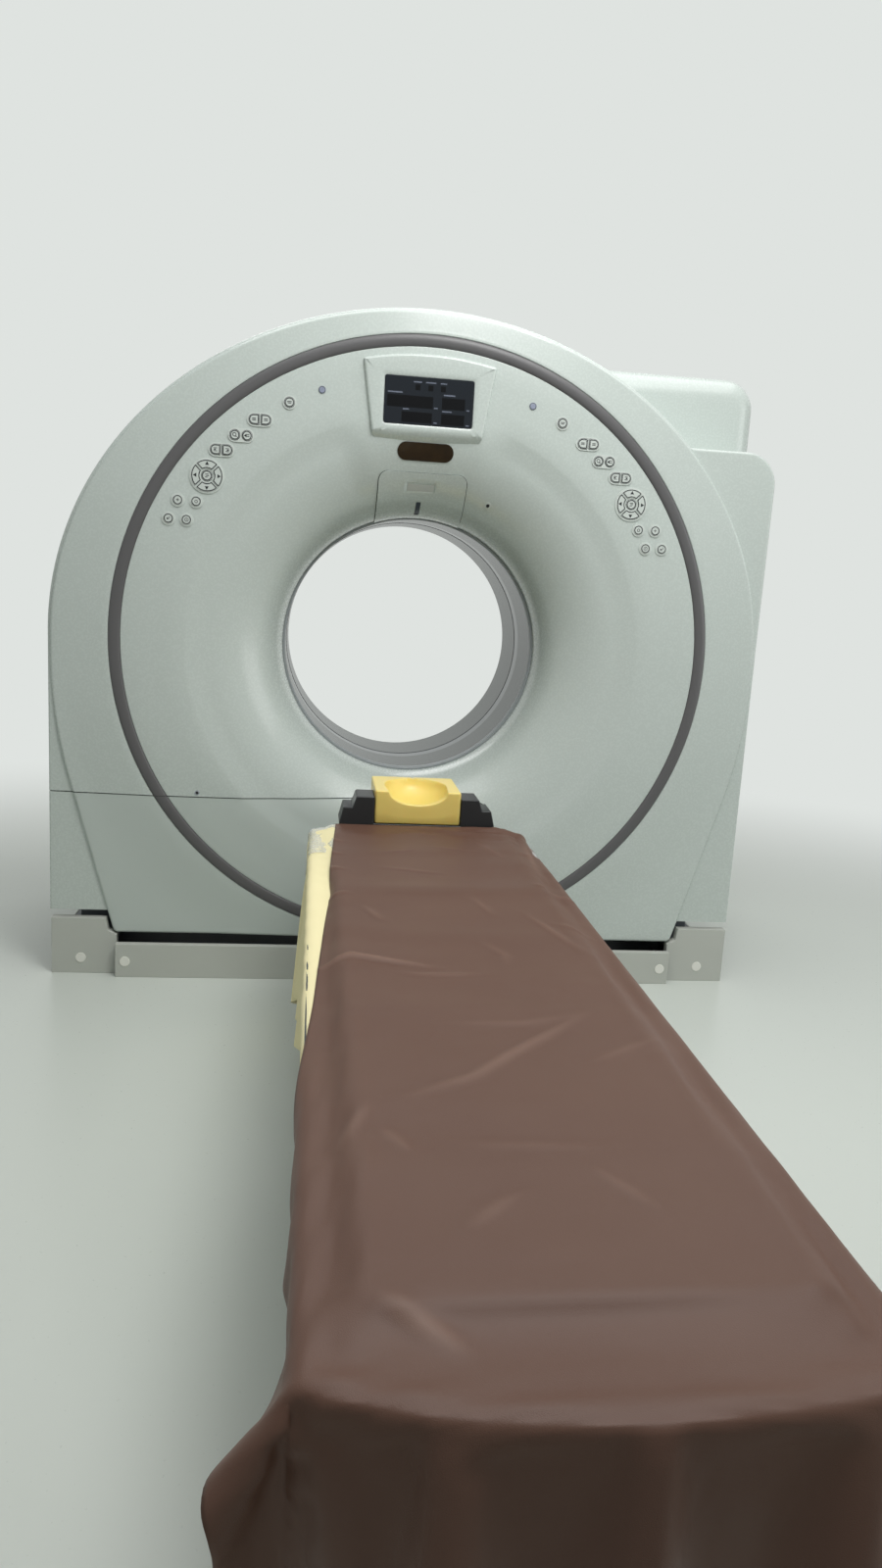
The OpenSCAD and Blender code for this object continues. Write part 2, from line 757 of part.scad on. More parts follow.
drum_y0 = 150;
drum_y1 = 170;
sleeve_end = 335;
module rotor_drum() {
  color("#8C9096") {
    difference() {
      tube_y(sleeve_r - 20, drum_r, drum_y0, drum_y1);
      for (a = [0:45:315]) translate([0, 0, iso_h]) rotate([0, a + 22.5, 0])
        translate([620, drum_y1 + eps, 0]) rotate([90, 0, 0]) cylinder(r = 70, h = drum_y1 - drum_y0 + 2 * eps);
    }
    tube_y(sleeve_r - 20, sleeve_r, drum_y0, sleeve_end);
    tube_y(drum_r - 15, drum_r, -120, drum_y1);
  }
}
module xray_tube() {
  color("#B4B8BC") along_y(-170, drum_y0) translate([0, focus_r]) circle(tube_r);
  color("#B4B8BC") along_y(-60, 60) translate([-60, focus_r - tube_r - 10]) square([120, 30]);
}
module collimator() {
  color("#6E7278") difference() {
    along_y(-70, 70) translate([-90, focus_r - tube_r - 46]) square([180, 36]);
    along_y(-10, 10) translate([-60, focus_r - tube_r - 50]) square([120, 50]);
  }
}
function arc_outline(r0, r1, half, n = 14) = concat(
  [for (i = [0:n]) let (t = -half + 2 * half * i / n) [r0 * sin(t), focus_r - r0 * cos(t)]],
  [for (i = [n:-1:0]) let (t = -half + 2 * half * i / n) [r1 * sin(t), focus_r - r1 * cos(t)]]
);
detector_t = 70;
module detector_arc() {
  color("#A9ADB2") along_y(-60, drum_y0)
    polygon(arc_outline(focus_to_detector, focus_to_detector + detector_t, fan_half));
}
module generator_box(angle, w, h) {
  translate([0, 0, iso_h]) rotate([0, angle, 0]) box(sleeve_r + 40, sleeve_r + 40 + h, -120, drum_y0, -w / 2, w / 2);
}
module hv_generator() {
  color("#5F6B78") {
    generator_box(0, 300, 190);
    generator_box(180, 300, 190);
  }
}
module slip_ring() {
  color("#B08D57") difference() {
    tube_y(sleeve_r - 20, sleeve_r + 120, sleeve_end, sleeve_end + 30);
    for (r = [sleeve_r + 20:22:sleeve_r + 108]) tube_y(r, r + 10, sleeve_end + 24, sleeve_end + 30 + eps);
  }
}

// Table: pedestal of three telescopic stages

under_t = 1;
film_t = 0.8;
mattress_z1 = top_h - sheet_t - under_t - film_t - 3 * seat;
mattress_z0 = mattress_z1 - mattress_t;
cradle_z1 = mattress_z0 - seat;
cradle_z0 = cradle_z1 - cradle_h;
cradle_end = -head_y - top_l + 4;
runner_z = cradle_z0 - 6;
rail_top = runner_z - seat;
frame_z0 = rail_top - 60;
foot_end = -head_y - top_l;
pedestal_y = -head_y - top_l / 2 - 100;
base_z = 15;
stage_low = base_z + 60;
stage_lap = 50;
stage_1_z1 = stage_low + lift_travel / 2 + stage_lap;
step = stage_t + stage_gap;

module stage(w, l, z0, z1) {
  translate([0, pedestal_y, z0]) difference() {
    translate([-w, -l, 0]) cube([2 * w, 2 * l, z1 - z0]);
    translate([-w + stage_t, -l + stage_t, -eps]) cube([2 * (w - stage_t), 2 * (l - stage_t), z1 - z0 + 2 * eps]);
  }
}
module table_base() {
  color("dimgray") {
    difference() {
      box(-stage_w - 60, stage_w + 60, pedestal_y - stage_l - 80, pedestal_y + stage_l + 80, 0, base_z);
      anchor_holes(2 * stage_w + 60, 2 * stage_l + 80, pedestal_y, 7, base_z);
    }
    // Cable duct on the floor that ties the table to the gantry base
    box(-120, 120, pedestal_y + stage_l + 60, skirt_front - seat, 0, 12);
  }
}
module pedestal_lower() {
  color("#B9BDB8") stage(stage_w, stage_l, base_z, stage_1_z1);
}
module pedestal_middle() {
  color("#C2C6C1") stage(stage_w + step, stage_l + step, stage_low, frame_z0 - 10);
}
module pedestal_upper() {
  color("#CBCFCA") stage(stage_w + 2 * step, stage_l + 2 * step, stage_low + 25, frame_z0);
}
frame_w = 240;
frame_head = -head_y - 30;
frame_foot = foot_end + 60;
module table_frame() {
  color("#BFC4BF") {
    difference() {
      box(-frame_w, frame_w, frame_foot, frame_head, frame_z0, rail_top - 12);
      box(-frame_w + 40, frame_w - 40, frame_foot + 40, frame_head - 40, frame_z0 + 8, rail_top + eps);
    }
    both_sides() box(145, 195, frame_foot, frame_head, rail_top - 30, rail_top);
  }
}

function cradle_section(n = 16) = concat(
  [[cradle_w, cradle_z1], [-cradle_w, cradle_z1]],
  [for (i = [0:n]) let (x = -cradle_w + 2 * cradle_w * i / n)
    [x, cradle_z0 + (cradle_h - 8) * pow(x / cradle_w, 2)]]
);
// Plan of the cradle: straight sides, cut corners and a bowed foot end
corner_cut = 12;
function cradle_plan(n = 12) = concat(
  [[cradle_w, -head_y], [-cradle_w, -head_y], [-cradle_w, cradle_end + foot_bow + corner_cut]],
  [for (i = [-n:n]) let (x = (cradle_w - corner_cut) * i / n) [x, cradle_end + foot_bow * pow(x / cradle_w, 2)]],
  [[cradle_w, cradle_end + foot_bow + corner_cut]]
);
module cradle() {
  color("#3C3F42") {
    intersection() {
      translate([0, -head_y, 0]) rotate([90, 0, 0]) linear_extrude(top_l) polygon(cradle_section());
      translate([0, 0, cradle_z0 - eps]) linear_extrude(cradle_h + 2 * eps) polygon(cradle_plan());
    }
    both_sides() box(150, 190, cradle_end + foot_bow, -head_y - 60, runner_z, cradle_z0 + 30);
  }
}
mattress_end = foot_end + 140;
mattress_cut = 6;
module mattress_plan(g) {
  translate([-mattress_w + g, mattress_end + g]) square([2 * (mattress_w - g), -head_y - mattress_end - g]);
}
module mattress() {
  color("#3A3D40") hull() {
    translate([0, 0, mattress_z0]) linear_extrude(mattress_t - mattress_cut) mattress_plan(0);
    translate([0, 0, mattress_z0]) linear_extrude(mattress_t) mattress_plan(mattress_cut);
  }
}
rest_z = top_h + 1;
holder_z = cradle_z1 - 10;
module head_holder() {
  color("#26282A") {
    // Tongue under the head rest
    box(-rest_w + 14, rest_w - 14, -head_y + seat, -head_y + 202, holder_z, rest_z - seat);
    // Stepped wings on both sides of the head rest
    both_sides() {
      translate([0, -head_y + 100, 0]) rotate([90, 0, 0]) linear_extrude(100 - seat)
        polygon([
          [rest_w + seat, holder_z], [200, holder_z], [206, rest_z], [196, rest_z + 42],
          [172, rest_z + 42], [162, rest_z + 71], [rest_w + seat, rest_z + 71]
        ]);
      box(rest_w - 20, rest_w + 2, -head_y + seat, -head_y + 100, holder_z, rest_z - seat);
    }
  }
}
module head_rest() {
  color("#D9BF62") difference() {
    translate([0, -head_y + 2 + rest_l, rest_z]) rotate([90, 0, 0]) linear_extrude(rest_l)
      polygon([[-rest_w, 0], [rest_w, 0], [rest_w - 2, rest_h], [-rest_w + 2, rest_h]]);
    translate([0, -head_y + 2 + rest_l / 2 - 22, rest_z + rest_h + 22]) {
      rotate([90, 0, 0]) cylinder(r = scoop_r, h = rest_l);
      sphere(scoop_r, $fn = 64);
    }
  }
}

// Draped covers. A flat place (a across, b along) is laid over the table top: past an edge
// the cloth turns down over a small radius and hangs, with folds that grow towards the hem.
// The layers lie at depths under the outermost one, so their folds run together.
edge_r = 14;
under_z = sheet_t + seat;
film_z = under_z + under_t + seat;
cloth_w = cradle_w + film_z + film_t + seat;
cloth_l = top_l + cloth_w - cradle_w;
wave = 22;
// A short flap at the left stands out from the edge; the long sides hang almost straight
function flare(a, past) = a < -cloth_w ? 0.36 * min(past, left_hang) : 0.08 * past;
function fold_at(a, b, d) = wave * pow(max(0, d - edge_r * 2) / 300, 1.2)
  * sin(abs(a) < cloth_w ? a * 1.1 : b * 0.75 + sign(a) * d);
function drape(a, b, depth) = let (
    da = max(0, abs(a) - cloth_w + edge_r), db = max(0, b - cloth_l + edge_r), d = norm([da, db]),
    ux = d > 0 ? da / d : 0, uy = d > 0 ? db / d : 0, turn = min(90, d / edge_r * 180 / PI),
    past = max(0, d - edge_r * PI / 2),
    out = (edge_r - depth) * sin(turn) + flare(a, past) + fold_at(a, b, d),
    down = edge_r - (edge_r - depth) * cos(turn) + past
  ) [
    sign(a) * (min(abs(a), cloth_w - edge_r) + out * ux),
    -head_y - min(b, cloth_l - edge_r) - out * uy + foot_bow * pow(min(1, abs(a) / cloth_w), 2) * min(1, b / cloth_l),
    top_h - down
  ];
function steps(lo, hi, n) = [for (i = [0:n]) lo + (hi - lo) * i / n];
// Stations across and along, closer together where the cloth turns over an edge
edge_steps = [-12, -5, 2, 12, 26, 50, 76, 100];
left_side = [for (i = [len(edge_steps) - 1:-1:0]) -cloth_w - edge_steps[i] * (edge_steps[i] > 50 ? left_hang / 100 : 1)];
right_side = concat([for (e = edge_steps) cloth_w + e], steps(cloth_w + 175, cloth_w + side_hang, 1));
middle = steps(-cloth_w * 0.75, cloth_w * 0.75, 6);
along = steps(1, cloth_l * 0.98, 24);
module cloth(aa, bb, z0, z1) {
  n = len(aa);
  m = len(bb);
  k = n * m;
  grid = [for (z = [z0, z1]) for (b = bb) for (a = aa) drape(a, b, z)];
  polyhedron(grid, concat(
    [for (j = [0:m - 2]) for (i = [0:n - 2]) let (p = j * n + i)
      each [[p, p + n, p + n + 1], [p, p + n + 1, p + 1]]],
    [for (j = [0:m - 2]) for (i = [0:n - 2]) let (p = k + j * n + i)
      each [[p, p + n + 1, p + n], [p, p + 1, p + n + 1]]],
    [for (i = [0:n - 2]) let (p = i, q = (m - 1) * n + i)
      each [[p, p + 1, k + p + 1], [p, k + p + 1, k + p], [q, k + q + 1, q + 1], [q, k + q, k + q + 1]]],
    [for (j = [0:m - 2]) let (p = j * n, q = j * n + n - 1)
      each [[p, k + p, k + p + n], [p, k + p + n, p + n], [q, k + q + n, k + q], [q, q + n, k + q + n]]]
  ));
}

// The brown sheet lies askew: its left border starts on the top, meets the edge at border_y
// and hangs below it from there on
border_x = 215;
border_y = -head_y - 1110;
border_slope = left_hang / (top_l + foot_hang - 1110);
module brown_sheet() {
  color("#5F4841") difference() {
    cloth(
      concat(left_side, middle, right_side),
      concat(along, steps(cloth_l - 12, cloth_l + 2, 2), steps(cloth_l + 12, cloth_l + foot_hang, 4)),
      0, sheet_t
    );
    linear_extrude(top_h + 100) polygon([
      [-cloth_w - 300, -head_y + 50], [-border_x, -head_y + 50], [-border_x, -head_y],
      [-cloth_w + 2, border_y], [-cloth_w - 300, border_y]
    ]);
    translate([-cloth_w + 4, 0, 0]) rotate([90, 0, -90]) linear_extrude(300) polygon([
      [-border_y - eps, 0], [-border_y - eps, top_h - 10],
      [-foot_end + 300, top_h - 10 - (border_y - foot_end + 300) * border_slope], [-foot_end + 300, 0]
    ]);
  }
}
module under_sheet() {
  color("#C9BF84") difference() {
    cloth(
      concat(steps(-cloth_w - under_hang, -cloth_w - under_hang * 0.45, 2), left_side, middle), [for (i = [0:21]) along[i]],
      under_z, under_z + under_t
    );
    // Its hem climbs from near the floor at the head end
    translate([-cloth_w + 60, 0, 0]) rotate([90, 0, -90]) linear_extrude(400) polygon([
      [head_y + 110, 0], [head_y + 500, top_h - under_hang * 0.5], [-border_y, top_h - left_hang * 0.9],
      [-foot_end, top_h - left_hang * 0.9], [-foot_end, 0]
    ]);
  }
}
module clear_film() {
  color("#DDE4E4") cloth(
    concat([for (i = [2:len(left_side) - 1]) left_side[i]], middle, [for (i = [0:5]) right_side[i]]),
    [for (i = [0:4]) along[i]], film_z, film_z + film_t
  );
}

base_frame();
trunnion_towers();
tilt_gearbox();
front_skirt();
rear_skirt();
foot_blocks();
skirt_caps();
tilt_frame();
main_bearing();
dish_panel();
trim_ring();
front_cover();
lower_cover();
arch_shell();
lower_shoulder();
upper_shoulder();
rear_cover();
bore_liner();
bore_window();
display_bezel();
display_glass();
status_window();
light_panel();
key_rims();
indicator_lamps();
key_l_single();
key_l_upper_a();
key_l_upper_b();
key_l_mid_a();
key_l_mid_b();
key_l_low_a();
key_l_low_b();
key_l_centre();
key_r_single();
key_r_upper_a();
key_r_upper_b();
key_r_mid_a();
key_r_mid_b();
key_r_low_a();
key_r_low_b();
key_r_centre();
rotor_drum();
xray_tube();
hv_generator();
detector_arc();
collimator();
slip_ring();
table_base();
pedestal_lower();
pedestal_middle();
pedestal_upper();
table_frame();
cradle();
mattress();
head_holder();
head_rest();
brown_sheet();
under_sheet();
clear_film();
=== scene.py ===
# %% [markdown]
# # A computed tomography scanner
# The object is a round-faced gantry with a patient table in front of it. This file dresses
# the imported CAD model: it keeps the frame where the CAD says, and gives every visible piece a
# smooth surface and a finish like the real one's. All sizes are metres, +Z is up, +Y runs
# along the bore away from the table, and the origin is on the floor below the isocentre.

# %% Load the frame
import json
import math
import time

import bmesh
import bpy
import numpy as np
from mathutils import Matrix


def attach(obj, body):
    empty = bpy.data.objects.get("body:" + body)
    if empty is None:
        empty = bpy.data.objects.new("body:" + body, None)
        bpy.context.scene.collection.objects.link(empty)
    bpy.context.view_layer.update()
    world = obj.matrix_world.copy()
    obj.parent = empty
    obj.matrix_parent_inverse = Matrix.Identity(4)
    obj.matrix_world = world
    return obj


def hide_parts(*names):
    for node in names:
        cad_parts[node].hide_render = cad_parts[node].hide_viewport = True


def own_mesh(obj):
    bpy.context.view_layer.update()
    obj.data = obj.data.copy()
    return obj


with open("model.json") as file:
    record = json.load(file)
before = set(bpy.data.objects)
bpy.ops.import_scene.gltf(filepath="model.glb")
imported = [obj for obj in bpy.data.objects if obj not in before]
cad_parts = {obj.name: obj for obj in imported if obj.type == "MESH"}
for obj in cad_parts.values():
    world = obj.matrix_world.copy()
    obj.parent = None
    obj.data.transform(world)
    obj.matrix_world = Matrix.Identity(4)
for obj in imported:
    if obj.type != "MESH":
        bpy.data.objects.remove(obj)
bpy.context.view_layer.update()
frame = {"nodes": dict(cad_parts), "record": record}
body_of_node = {n: b for b, ns in frame["record"]["behaviour"]["bodies"].items() for n in ns}

# %% [markdown]
# ## The camera
# The photograph was taken by a standing person near the foot of the table, looking a little
# down and to the right, with the phone held slightly turned. The lens and the turn were worked
# out from the round trim ring, the bore and the floor line, so the camera is set by numbers
# and not by eye.

# %% Camera at the photograph's viewing angle
EYE = (-0.2842, -3.5473, 1.1714)
YAW, PITCH, ROLL = (math.radians(v) for v in (7.06, 10.54, 3.31))
LENS_MM, SENSOR_MM = 24.66, 36.0


def camera_axes(yaw, pitch, roll):
    """Right, up and forward: forward = (sin yaw cos pitch, cos yaw cos pitch, -sin pitch),
    and right and up are turned about it by the roll."""
    forward = np.array([math.sin(yaw) * math.cos(pitch), math.cos(yaw) * math.cos(pitch), -math.sin(pitch)])
    level = np.array([math.cos(yaw), -math.sin(yaw), 0.0])
    steep = np.cross(level, forward)
    return (level * math.cos(roll) + steep * math.sin(roll),
            steep * math.cos(roll) - level * math.sin(roll), forward)


right, up, forward = camera_axes(YAW, PITCH, ROLL)
camera_data = bpy.data.cameras.new("camera")
camera_data.lens, camera_data.sensor_width = LENS_MM, SENSOR_MM
camera = bpy.data.objects.new("camera", camera_data)
bpy.context.scene.collection.objects.link(camera)
camera.matrix_world = Matrix([
    (right[i], up[i], -forward[i], EYE[i]) for i in range(3)] + [(0, 0, 0, 1)])
bpy.context.scene.camera = camera
print("camera", EYE, "lens", LENS_MM)

# %% [markdown]
# ## Helpers for finishes
# A material is a small graph of nodes. One function turns the hex colour that a maker would
# quote into the linear numbers that the shader wants, and one adds a node with its settings
# and links.

# %% Colour and node helpers


def linear(hex_colour, alpha=1.0):
    """sRGB hex to linear RGBA: c / 12.92 below 0.04045, else ((c + 0.055) / 1.055) ** 2.4."""
    c = np.array([int(hex_colour[i:i + 2], 16) for i in (0, 2, 4)]) / 255
    return (*np.where(c <= 0.04045, c / 12.92, ((c + 0.055) / 1.055) ** 2.4).tolist(), alpha)


def add(tree, kind, inputs=None, **settings):
    """Adds a node. inputs maps a socket's name or place to a number, a colour or an output."""
    node = tree.nodes.new(kind)
    for key, value in settings.items():
        setattr(node, key, value)
    for key, value in (inputs or {}).items():
        if isinstance(value, bpy.types.NodeSocket):
            tree.links.new(value, node.inputs[key])
        else:
            node.inputs[key].default_value = value
    return node


def finish(name, colour, rough, metal=0.0, ior=1.5, tint=None, mottle_mm=300.0, mottle=0.3,
           grain_mm=1.0, grain=0.05, rough_spread=0.06, stretch=(1, 1, 1), **shader_inputs):
    """A finish with slow colour mottling of size mottle_mm, a fine surface grain of size
    grain_mm that both bends the light and varies the roughness, and plain shader values."""
    material = bpy.data.materials.new(name)
    material.use_nodes = True
    tree = material.node_tree
    shader = tree.nodes["Principled BSDF"]
    place = add(tree, "ShaderNodeTexCoord").outputs["Object"]
    scaled = add(tree, "ShaderNodeMapping", {"Vector": place, "Scale": stretch}).outputs["Vector"]
    slow = add(tree, "ShaderNodeTexNoise", {"Vector": place, "Scale": 1000 / mottle_mm, "Detail": 3.0})
    fine = add(tree, "ShaderNodeTexNoise", {"Vector": scaled, "Scale": 1000 / grain_mm, "Detail": 2.0})
    share = add(tree, "ShaderNodeMath", {0: slow.outputs["Fac"], 1: mottle}, operation="MULTIPLY")
    mix = add(tree, "ShaderNodeMix", {"Factor": share.outputs[0], 6: linear(colour),
                                      7: linear(tint or colour)}, data_type="RGBA")
    tree.links.new(mix.outputs[2], shader.inputs["Base Color"])
    spread = add(tree, "ShaderNodeMapRange", {"Value": fine.outputs["Fac"],
                                              "To Min": max(0.02, rough - rough_spread),
                                              "To Max": rough + rough_spread})
    tree.links.new(spread.outputs[0], shader.inputs["Roughness"])
    bump = add(tree, "ShaderNodeBump", {"Height": fine.outputs["Fac"], "Strength": grain,
                                        "Distance": grain_mm / 1000})
    tree.links.new(bump.outputs[0], shader.inputs["Normal"])
    shader.inputs["Metallic"].default_value = metal
    shader.inputs["IOR"].default_value = ior
    for key, value in shader_inputs.items():
        shader.inputs[key.replace("_", " ")].default_value = value
    return material


# %% [markdown]
# ## The finishes
# The covers are moulded polyurethane with a satin lacquer, the bead is soft dark PVC, the
# skirts are powder-coated sheet, the sheet on the table is brown leatherette, and the machine
# inside is cast, welded and turned metal.

# %% Finishes of the gantry
# Satin lacquer on moulded polyurethane: an even pale green grey under a thin clear gloss.
cover_lacquer = finish("satin_lacquered_cover", "C5CEC9", 0.27, tint="BBC5BF", mottle=0.5,
                       grain_mm=6, grain=0.012, Coat_Weight=0.35, Coat_Roughness=0.12)
# The same lacquer from another batch: the service cover looks a shade darker and duller.
service_lacquer = finish("satin_lacquered_service_cover", "C0C9C4", 0.3, tint="B8C2BC", mottle=0.5,
                         grain_mm=6, grain=0.012, Coat_Weight=0.3, Coat_Roughness=0.14)
# Extruded soft PVC: a dark warm grey with a broad dull highlight along the bead.
bead_pvc = finish("soft_dark_pvc_bead", "5B5A5B", 0.38, tint="504F51", grain_mm=2, grain=0.02)
# Powder coat on folded sheet: warm grey, matt, with a fine orange peel.
skirt_powder = finish("powder_coated_skirt_sheet", "BFC2BB", 0.5, tint="B3B6AE", mottle=0.6,
                      grain_mm=1.2, grain=0.12)
# Moulded polypropylene: nearly white and slightly waxy.
plug_polypropylene = finish("moulded_polypropylene_plug", "E9E9E1", 0.5, grain_mm=1, grain=0.05)
# Smoked acrylic: a dark navy grey with a clear reflection.
display_acrylic = finish("smoked_acrylic_sheet", "141A22", 0.14, grain_mm=3, grain=0.004,
                         Specular_IOR_Level=0.3)
# Amber smoked acrylic: brown where something pale stands behind it, else nearly black.
window_acrylic = finish("smoked_amber_window", "1E1B17", 0.1, tint="4A3A20", mottle_mm=40,
                        mottle=0.5, grain=0.004)
# Blackened fields where the digits light up: darker than the sheet, with little gloss.
field_black = finish("blackened_display_field", "050609", 0.3, grain=0.01, Specular_IOR_Level=0.15)
# Moulded key thermoplastic: pale, with a fine spark-eroded texture that dulls it.
key_thermoplastic = finish("moulded_key_thermoplastic", "CCD3CE", 0.38, grain_mm=0.8, grain=0.03)
# Screen printing ink: near black and dull. It also paints the shade in the gaps round the keys.
key_print_and_gap_shade = finish("key_ink_and_painted_gap_shade", "15191C", 0.5, grain_mm=0.5, grain=0.03)
# Frosted polycarbonate over an unlit lamp: a cloudy violet grey.
lamp_polycarbonate = finish("frosted_polycarbonate_lens", "A9B0C0", 0.22, tint="6B7390", mottle_mm=8,
                            mottle=0.8)
# Glossy sheet that lines the tunnel: the streaks of its reflections are set further down.
liner_acrylic = finish("glossy_tunnel_sheet", "D3D9D6", 0.22, tint="BFC6C3", mottle_mm=120,
                       mottle=0.6, grain=0.003, Specular_IOR_Level=0.2)
# Polyester film over the scan window: flat dark grey.
band_film = finish("grey_window_film", "4B5158", 0.16, grain=0.004)
# Rubber lip: mid grey and matt.
lip_rubber = finish("grey_lip_rubber", "8E9496", 0.42, tint="7C8284", grain_mm=1.5, grain=0.03)
# Caption ink on the display: greyish, so that it stays faint.
caption_print = finish("pale_caption_print", "5F6676", 0.5, grain=0.01)
# Near black: painted shade in gaps, seams and slots, and the dark glass of the aperture.
gap_shade_and_dark_glass = finish("near_black_gap_shade_and_glass", "15171A", 0.9, grain_mm=2, grain=0.2)

# %% Finishes of the machine
# Brushed paint on welded steel: mid grey, a little uneven.
welded_steel = finish("painted_welded_steel", "6B7076", 0.45, tint="5E6369", grain_mm=1.5, grain=0.1)
# Paint on a sand casting: dark, with the sand's coarse skin.
gearbox_cast = finish("painted_iron_casting", "3A454A", 0.5, tint="2E373B", grain_mm=2.5, grain=0.35)
# Ground steel: bright, with fine marks along the grinding.
bearing_ground = finish("ground_bearing_steel", "B4B8BE", 0.22, metal=1.0, stretch=(1, 30, 1),
                        grain_mm=2, grain=0.05)
# Machined aluminium: bright grey, even.
drum_aluminium = finish("machined_aluminium_casting", "A8ABB0", 0.35, metal=1.0, grain_mm=1.5,
                        grain=0.08)
# Baked enamel on the source housing: light grey with a soft gloss.
housing_enamel = finish("enamelled_source_housing", "AAB0B4", 0.33, tint="9BA2A7", grain_mm=2,
                        grain=0.05)
# Blue grey enamel of the generator boxes.
generator_enamel = finish("blue_grey_enamel", "66727E", 0.36, tint="5B6671", grain_mm=2, grain=0.05)
# Anodised aluminium rail: satin, a little darker than bare metal.
detector_anodised = finish("anodised_detector_rail", "8F959B", 0.3, metal=0.8, grain_mm=1, grain=0.05)
# Turned brass: yellow metal with marks round the ring.
ring_brass = finish("turned_brass", "B9945A", 0.25, metal=1.0, stretch=(1, 20, 1), grain_mm=2,
                    grain=0.05)

# %% Finishes of the table
# Powder coat of the pedestal: pale and even.
pedestal_powder = finish("powder_coated_pedestal", "BFC3BE", 0.42, tint="B3B7B2", grain_mm=1.2,
                         grain=0.1)
# Carbon fibre under clear lacquer: near black, with a fine play of weave.
carbon_fibre = finish("lacquered_carbon_fibre", "26282B", 0.28, tint="32353A", mottle_mm=4, mottle=1.0,
                      grain_mm=2, grain=0.04, Coat_Weight=0.5, Coat_Roughness=0.08)
# Black nylon, moulded against a textured steel: matt, with pale edges in the light.
holder_nylon = finish("black_moulded_nylon", "17191B", 0.42, tint="222528", grain_mm=0.9, grain=0.12)
# Vinyl on the pad: dark grey with a leather-like grain.
pad_vinyl = finish("vinyl_covered_pad", "3A3D41", 0.42, tint="30333A", grain_mm=1.4, grain=0.2)
# Foam dipped in a rubbery yellow coat: satin, and light goes a little way into it.
rest_foam = finish("coated_yellow_foam", "FAE384", 0.36, tint="F0D572", mottle_mm=60, mottle=0.7,
                   grain_mm=1.2, grain=0.05, Subsurface_Weight=0.12, Subsurface_Scale=0.02)
# Brown leatherette: a fine pore grain, soft gloss, and slow changes of tone.
leatherette = finish("brown_leatherette", "62473A", 0.42, tint="54382E", mottle_mm=180, mottle=0.5,
                     grain_mm=1.1, grain=0.25, Specular_IOR_Level=0.32)
# Cotton sheet: warm cream, fully matt. Its threads of 0.3 mm are drawn coarser, to show.
cream_cotton = finish("cream_cotton_sheet", "F8EEBE", 0.8, tint="EEE3AE", mottle_mm=200, grain_mm=0.8,
                      grain=0.3)
# Thin clear film: seen mostly by the glints on its crumples.
thin_film = finish("clear_plastic_film", "EDF1F0", 0.1, mottle_mm=60, grain_mm=12, grain=0.3, Alpha=0.34)
print("finishes", len(bpy.data.materials))

# %% [markdown]
# Leatherette is a knitted cloth with a soft plastic skin. Handled and folded, its skin keeps
# many faint wrinkles that run across the table, and a rubbed gloss along its ridges. Noise
# with ridges, squeezed along the table, gives both: it bends the light and varies the gloss.
# Where a fold stands up, its top is painted paler, a painted highlight for the light it catches; the sheet
# carries that as an attribute.
# The tunnel's glossy sheet shows streaks of the room along its length instead, which a noise
# stretched along the bore imitates in its colour.

# %% Wrinkles and painted fold highlights in the leatherette, streaks in the tunnel


def ridges(tree, size_mm, squeeze):
    """Ridged noise in object coordinates, squeezed by a scale along each axis."""
    place = add(tree, "ShaderNodeTexCoord").outputs["Object"]
    scaled = add(tree, "ShaderNodeMapping", {"Vector": place, "Scale": squeeze}).outputs["Vector"]
    return add(tree, "ShaderNodeTexNoise", {"Vector": scaled, "Scale": 1000 / size_mm, "Detail": 4.0,
                                            "Roughness": 0.45},
               noise_type="RIDGED_MULTIFRACTAL").outputs["Fac"]


tree = leatherette.node_tree
shader = tree.nodes["Principled BSDF"]
wrinkle = ridges(tree, 420, (0.8, 2.6, 1.0))
grained = shader.inputs["Normal"].links[0].from_socket
wrinkled = add(tree, "ShaderNodeBump", {"Height": wrinkle, "Normal": grained, "Strength": 0.7,
                                        "Distance": 0.02})
tree.links.new(wrinkled.outputs[0], shader.inputs["Normal"])
rubbed = add(tree, "ShaderNodeMapRange", {"Value": wrinkle, "From Min": 0.2, "From Max": 1.6,
                                          "To Min": 0.5, "To Max": 0.34})
tree.links.new(rubbed.outputs[0], shader.inputs["Roughness"])
# Painted highlight: the tops of the folds are painted paler, from the attribute that the sheet carries.
ridge = add(tree, "ShaderNodeAttribute", attribute_name="ridge").outputs["Fac"]
mottled = shader.inputs["Base Color"].links[0].from_socket
fold_highlighted_colour = add(tree, "ShaderNodeMix", {"Factor": ridge, 6: mottled, 7: linear("8A6E60")}, data_type="RGBA")
tree.links.new(fold_highlighted_colour.outputs[2], shader.inputs["Base Color"])
tree = liner_acrylic.node_tree
streak = add(tree, "ShaderNodeMapRange", {"Value": ridges(tree, 260, (1.0, 0.12, 1.0)),
                                          "From Min": 0.3, "From Max": 1.5})
sheen = add(tree, "ShaderNodeMix", {"Factor": streak.outputs[0], 6: linear("3C4140"),
                                    7: linear("8F9592")}, data_type="RGBA")
tree.links.new(sheen.outputs[2], tree.nodes["Principled BSDF"].inputs["Base Color"])
print("wrinkles and streaks ready")

# %% [markdown]
# ## Helpers for shapes
# Every new surface is a grid of points worked out with numpy. Rows run along one parameter and
# columns along the other, and the faces join neighbours. Sizes are written in millimetres, as
# on a drawing, and turned to metres where a mesh is made.

# %% Grid meshes
ISO = 980.0


def grid_faces(rows, cols, close_rows=False, close_cols=False):
    """Quads of a grid: (i, j), (i, j + 1), (i + 1, j + 1), (i + 1, j), wrapping where closed."""
    i = np.arange(rows if close_rows else rows - 1)[:, None]
    j = np.arange(cols if close_cols else cols - 1)[None, :]
    k, l = (i + 1) % rows, (j + 1) % cols
    return np.stack([i * cols + j, i * cols + l, k * cols + l, k * cols + j], -1).reshape(-1, 4).tolist()


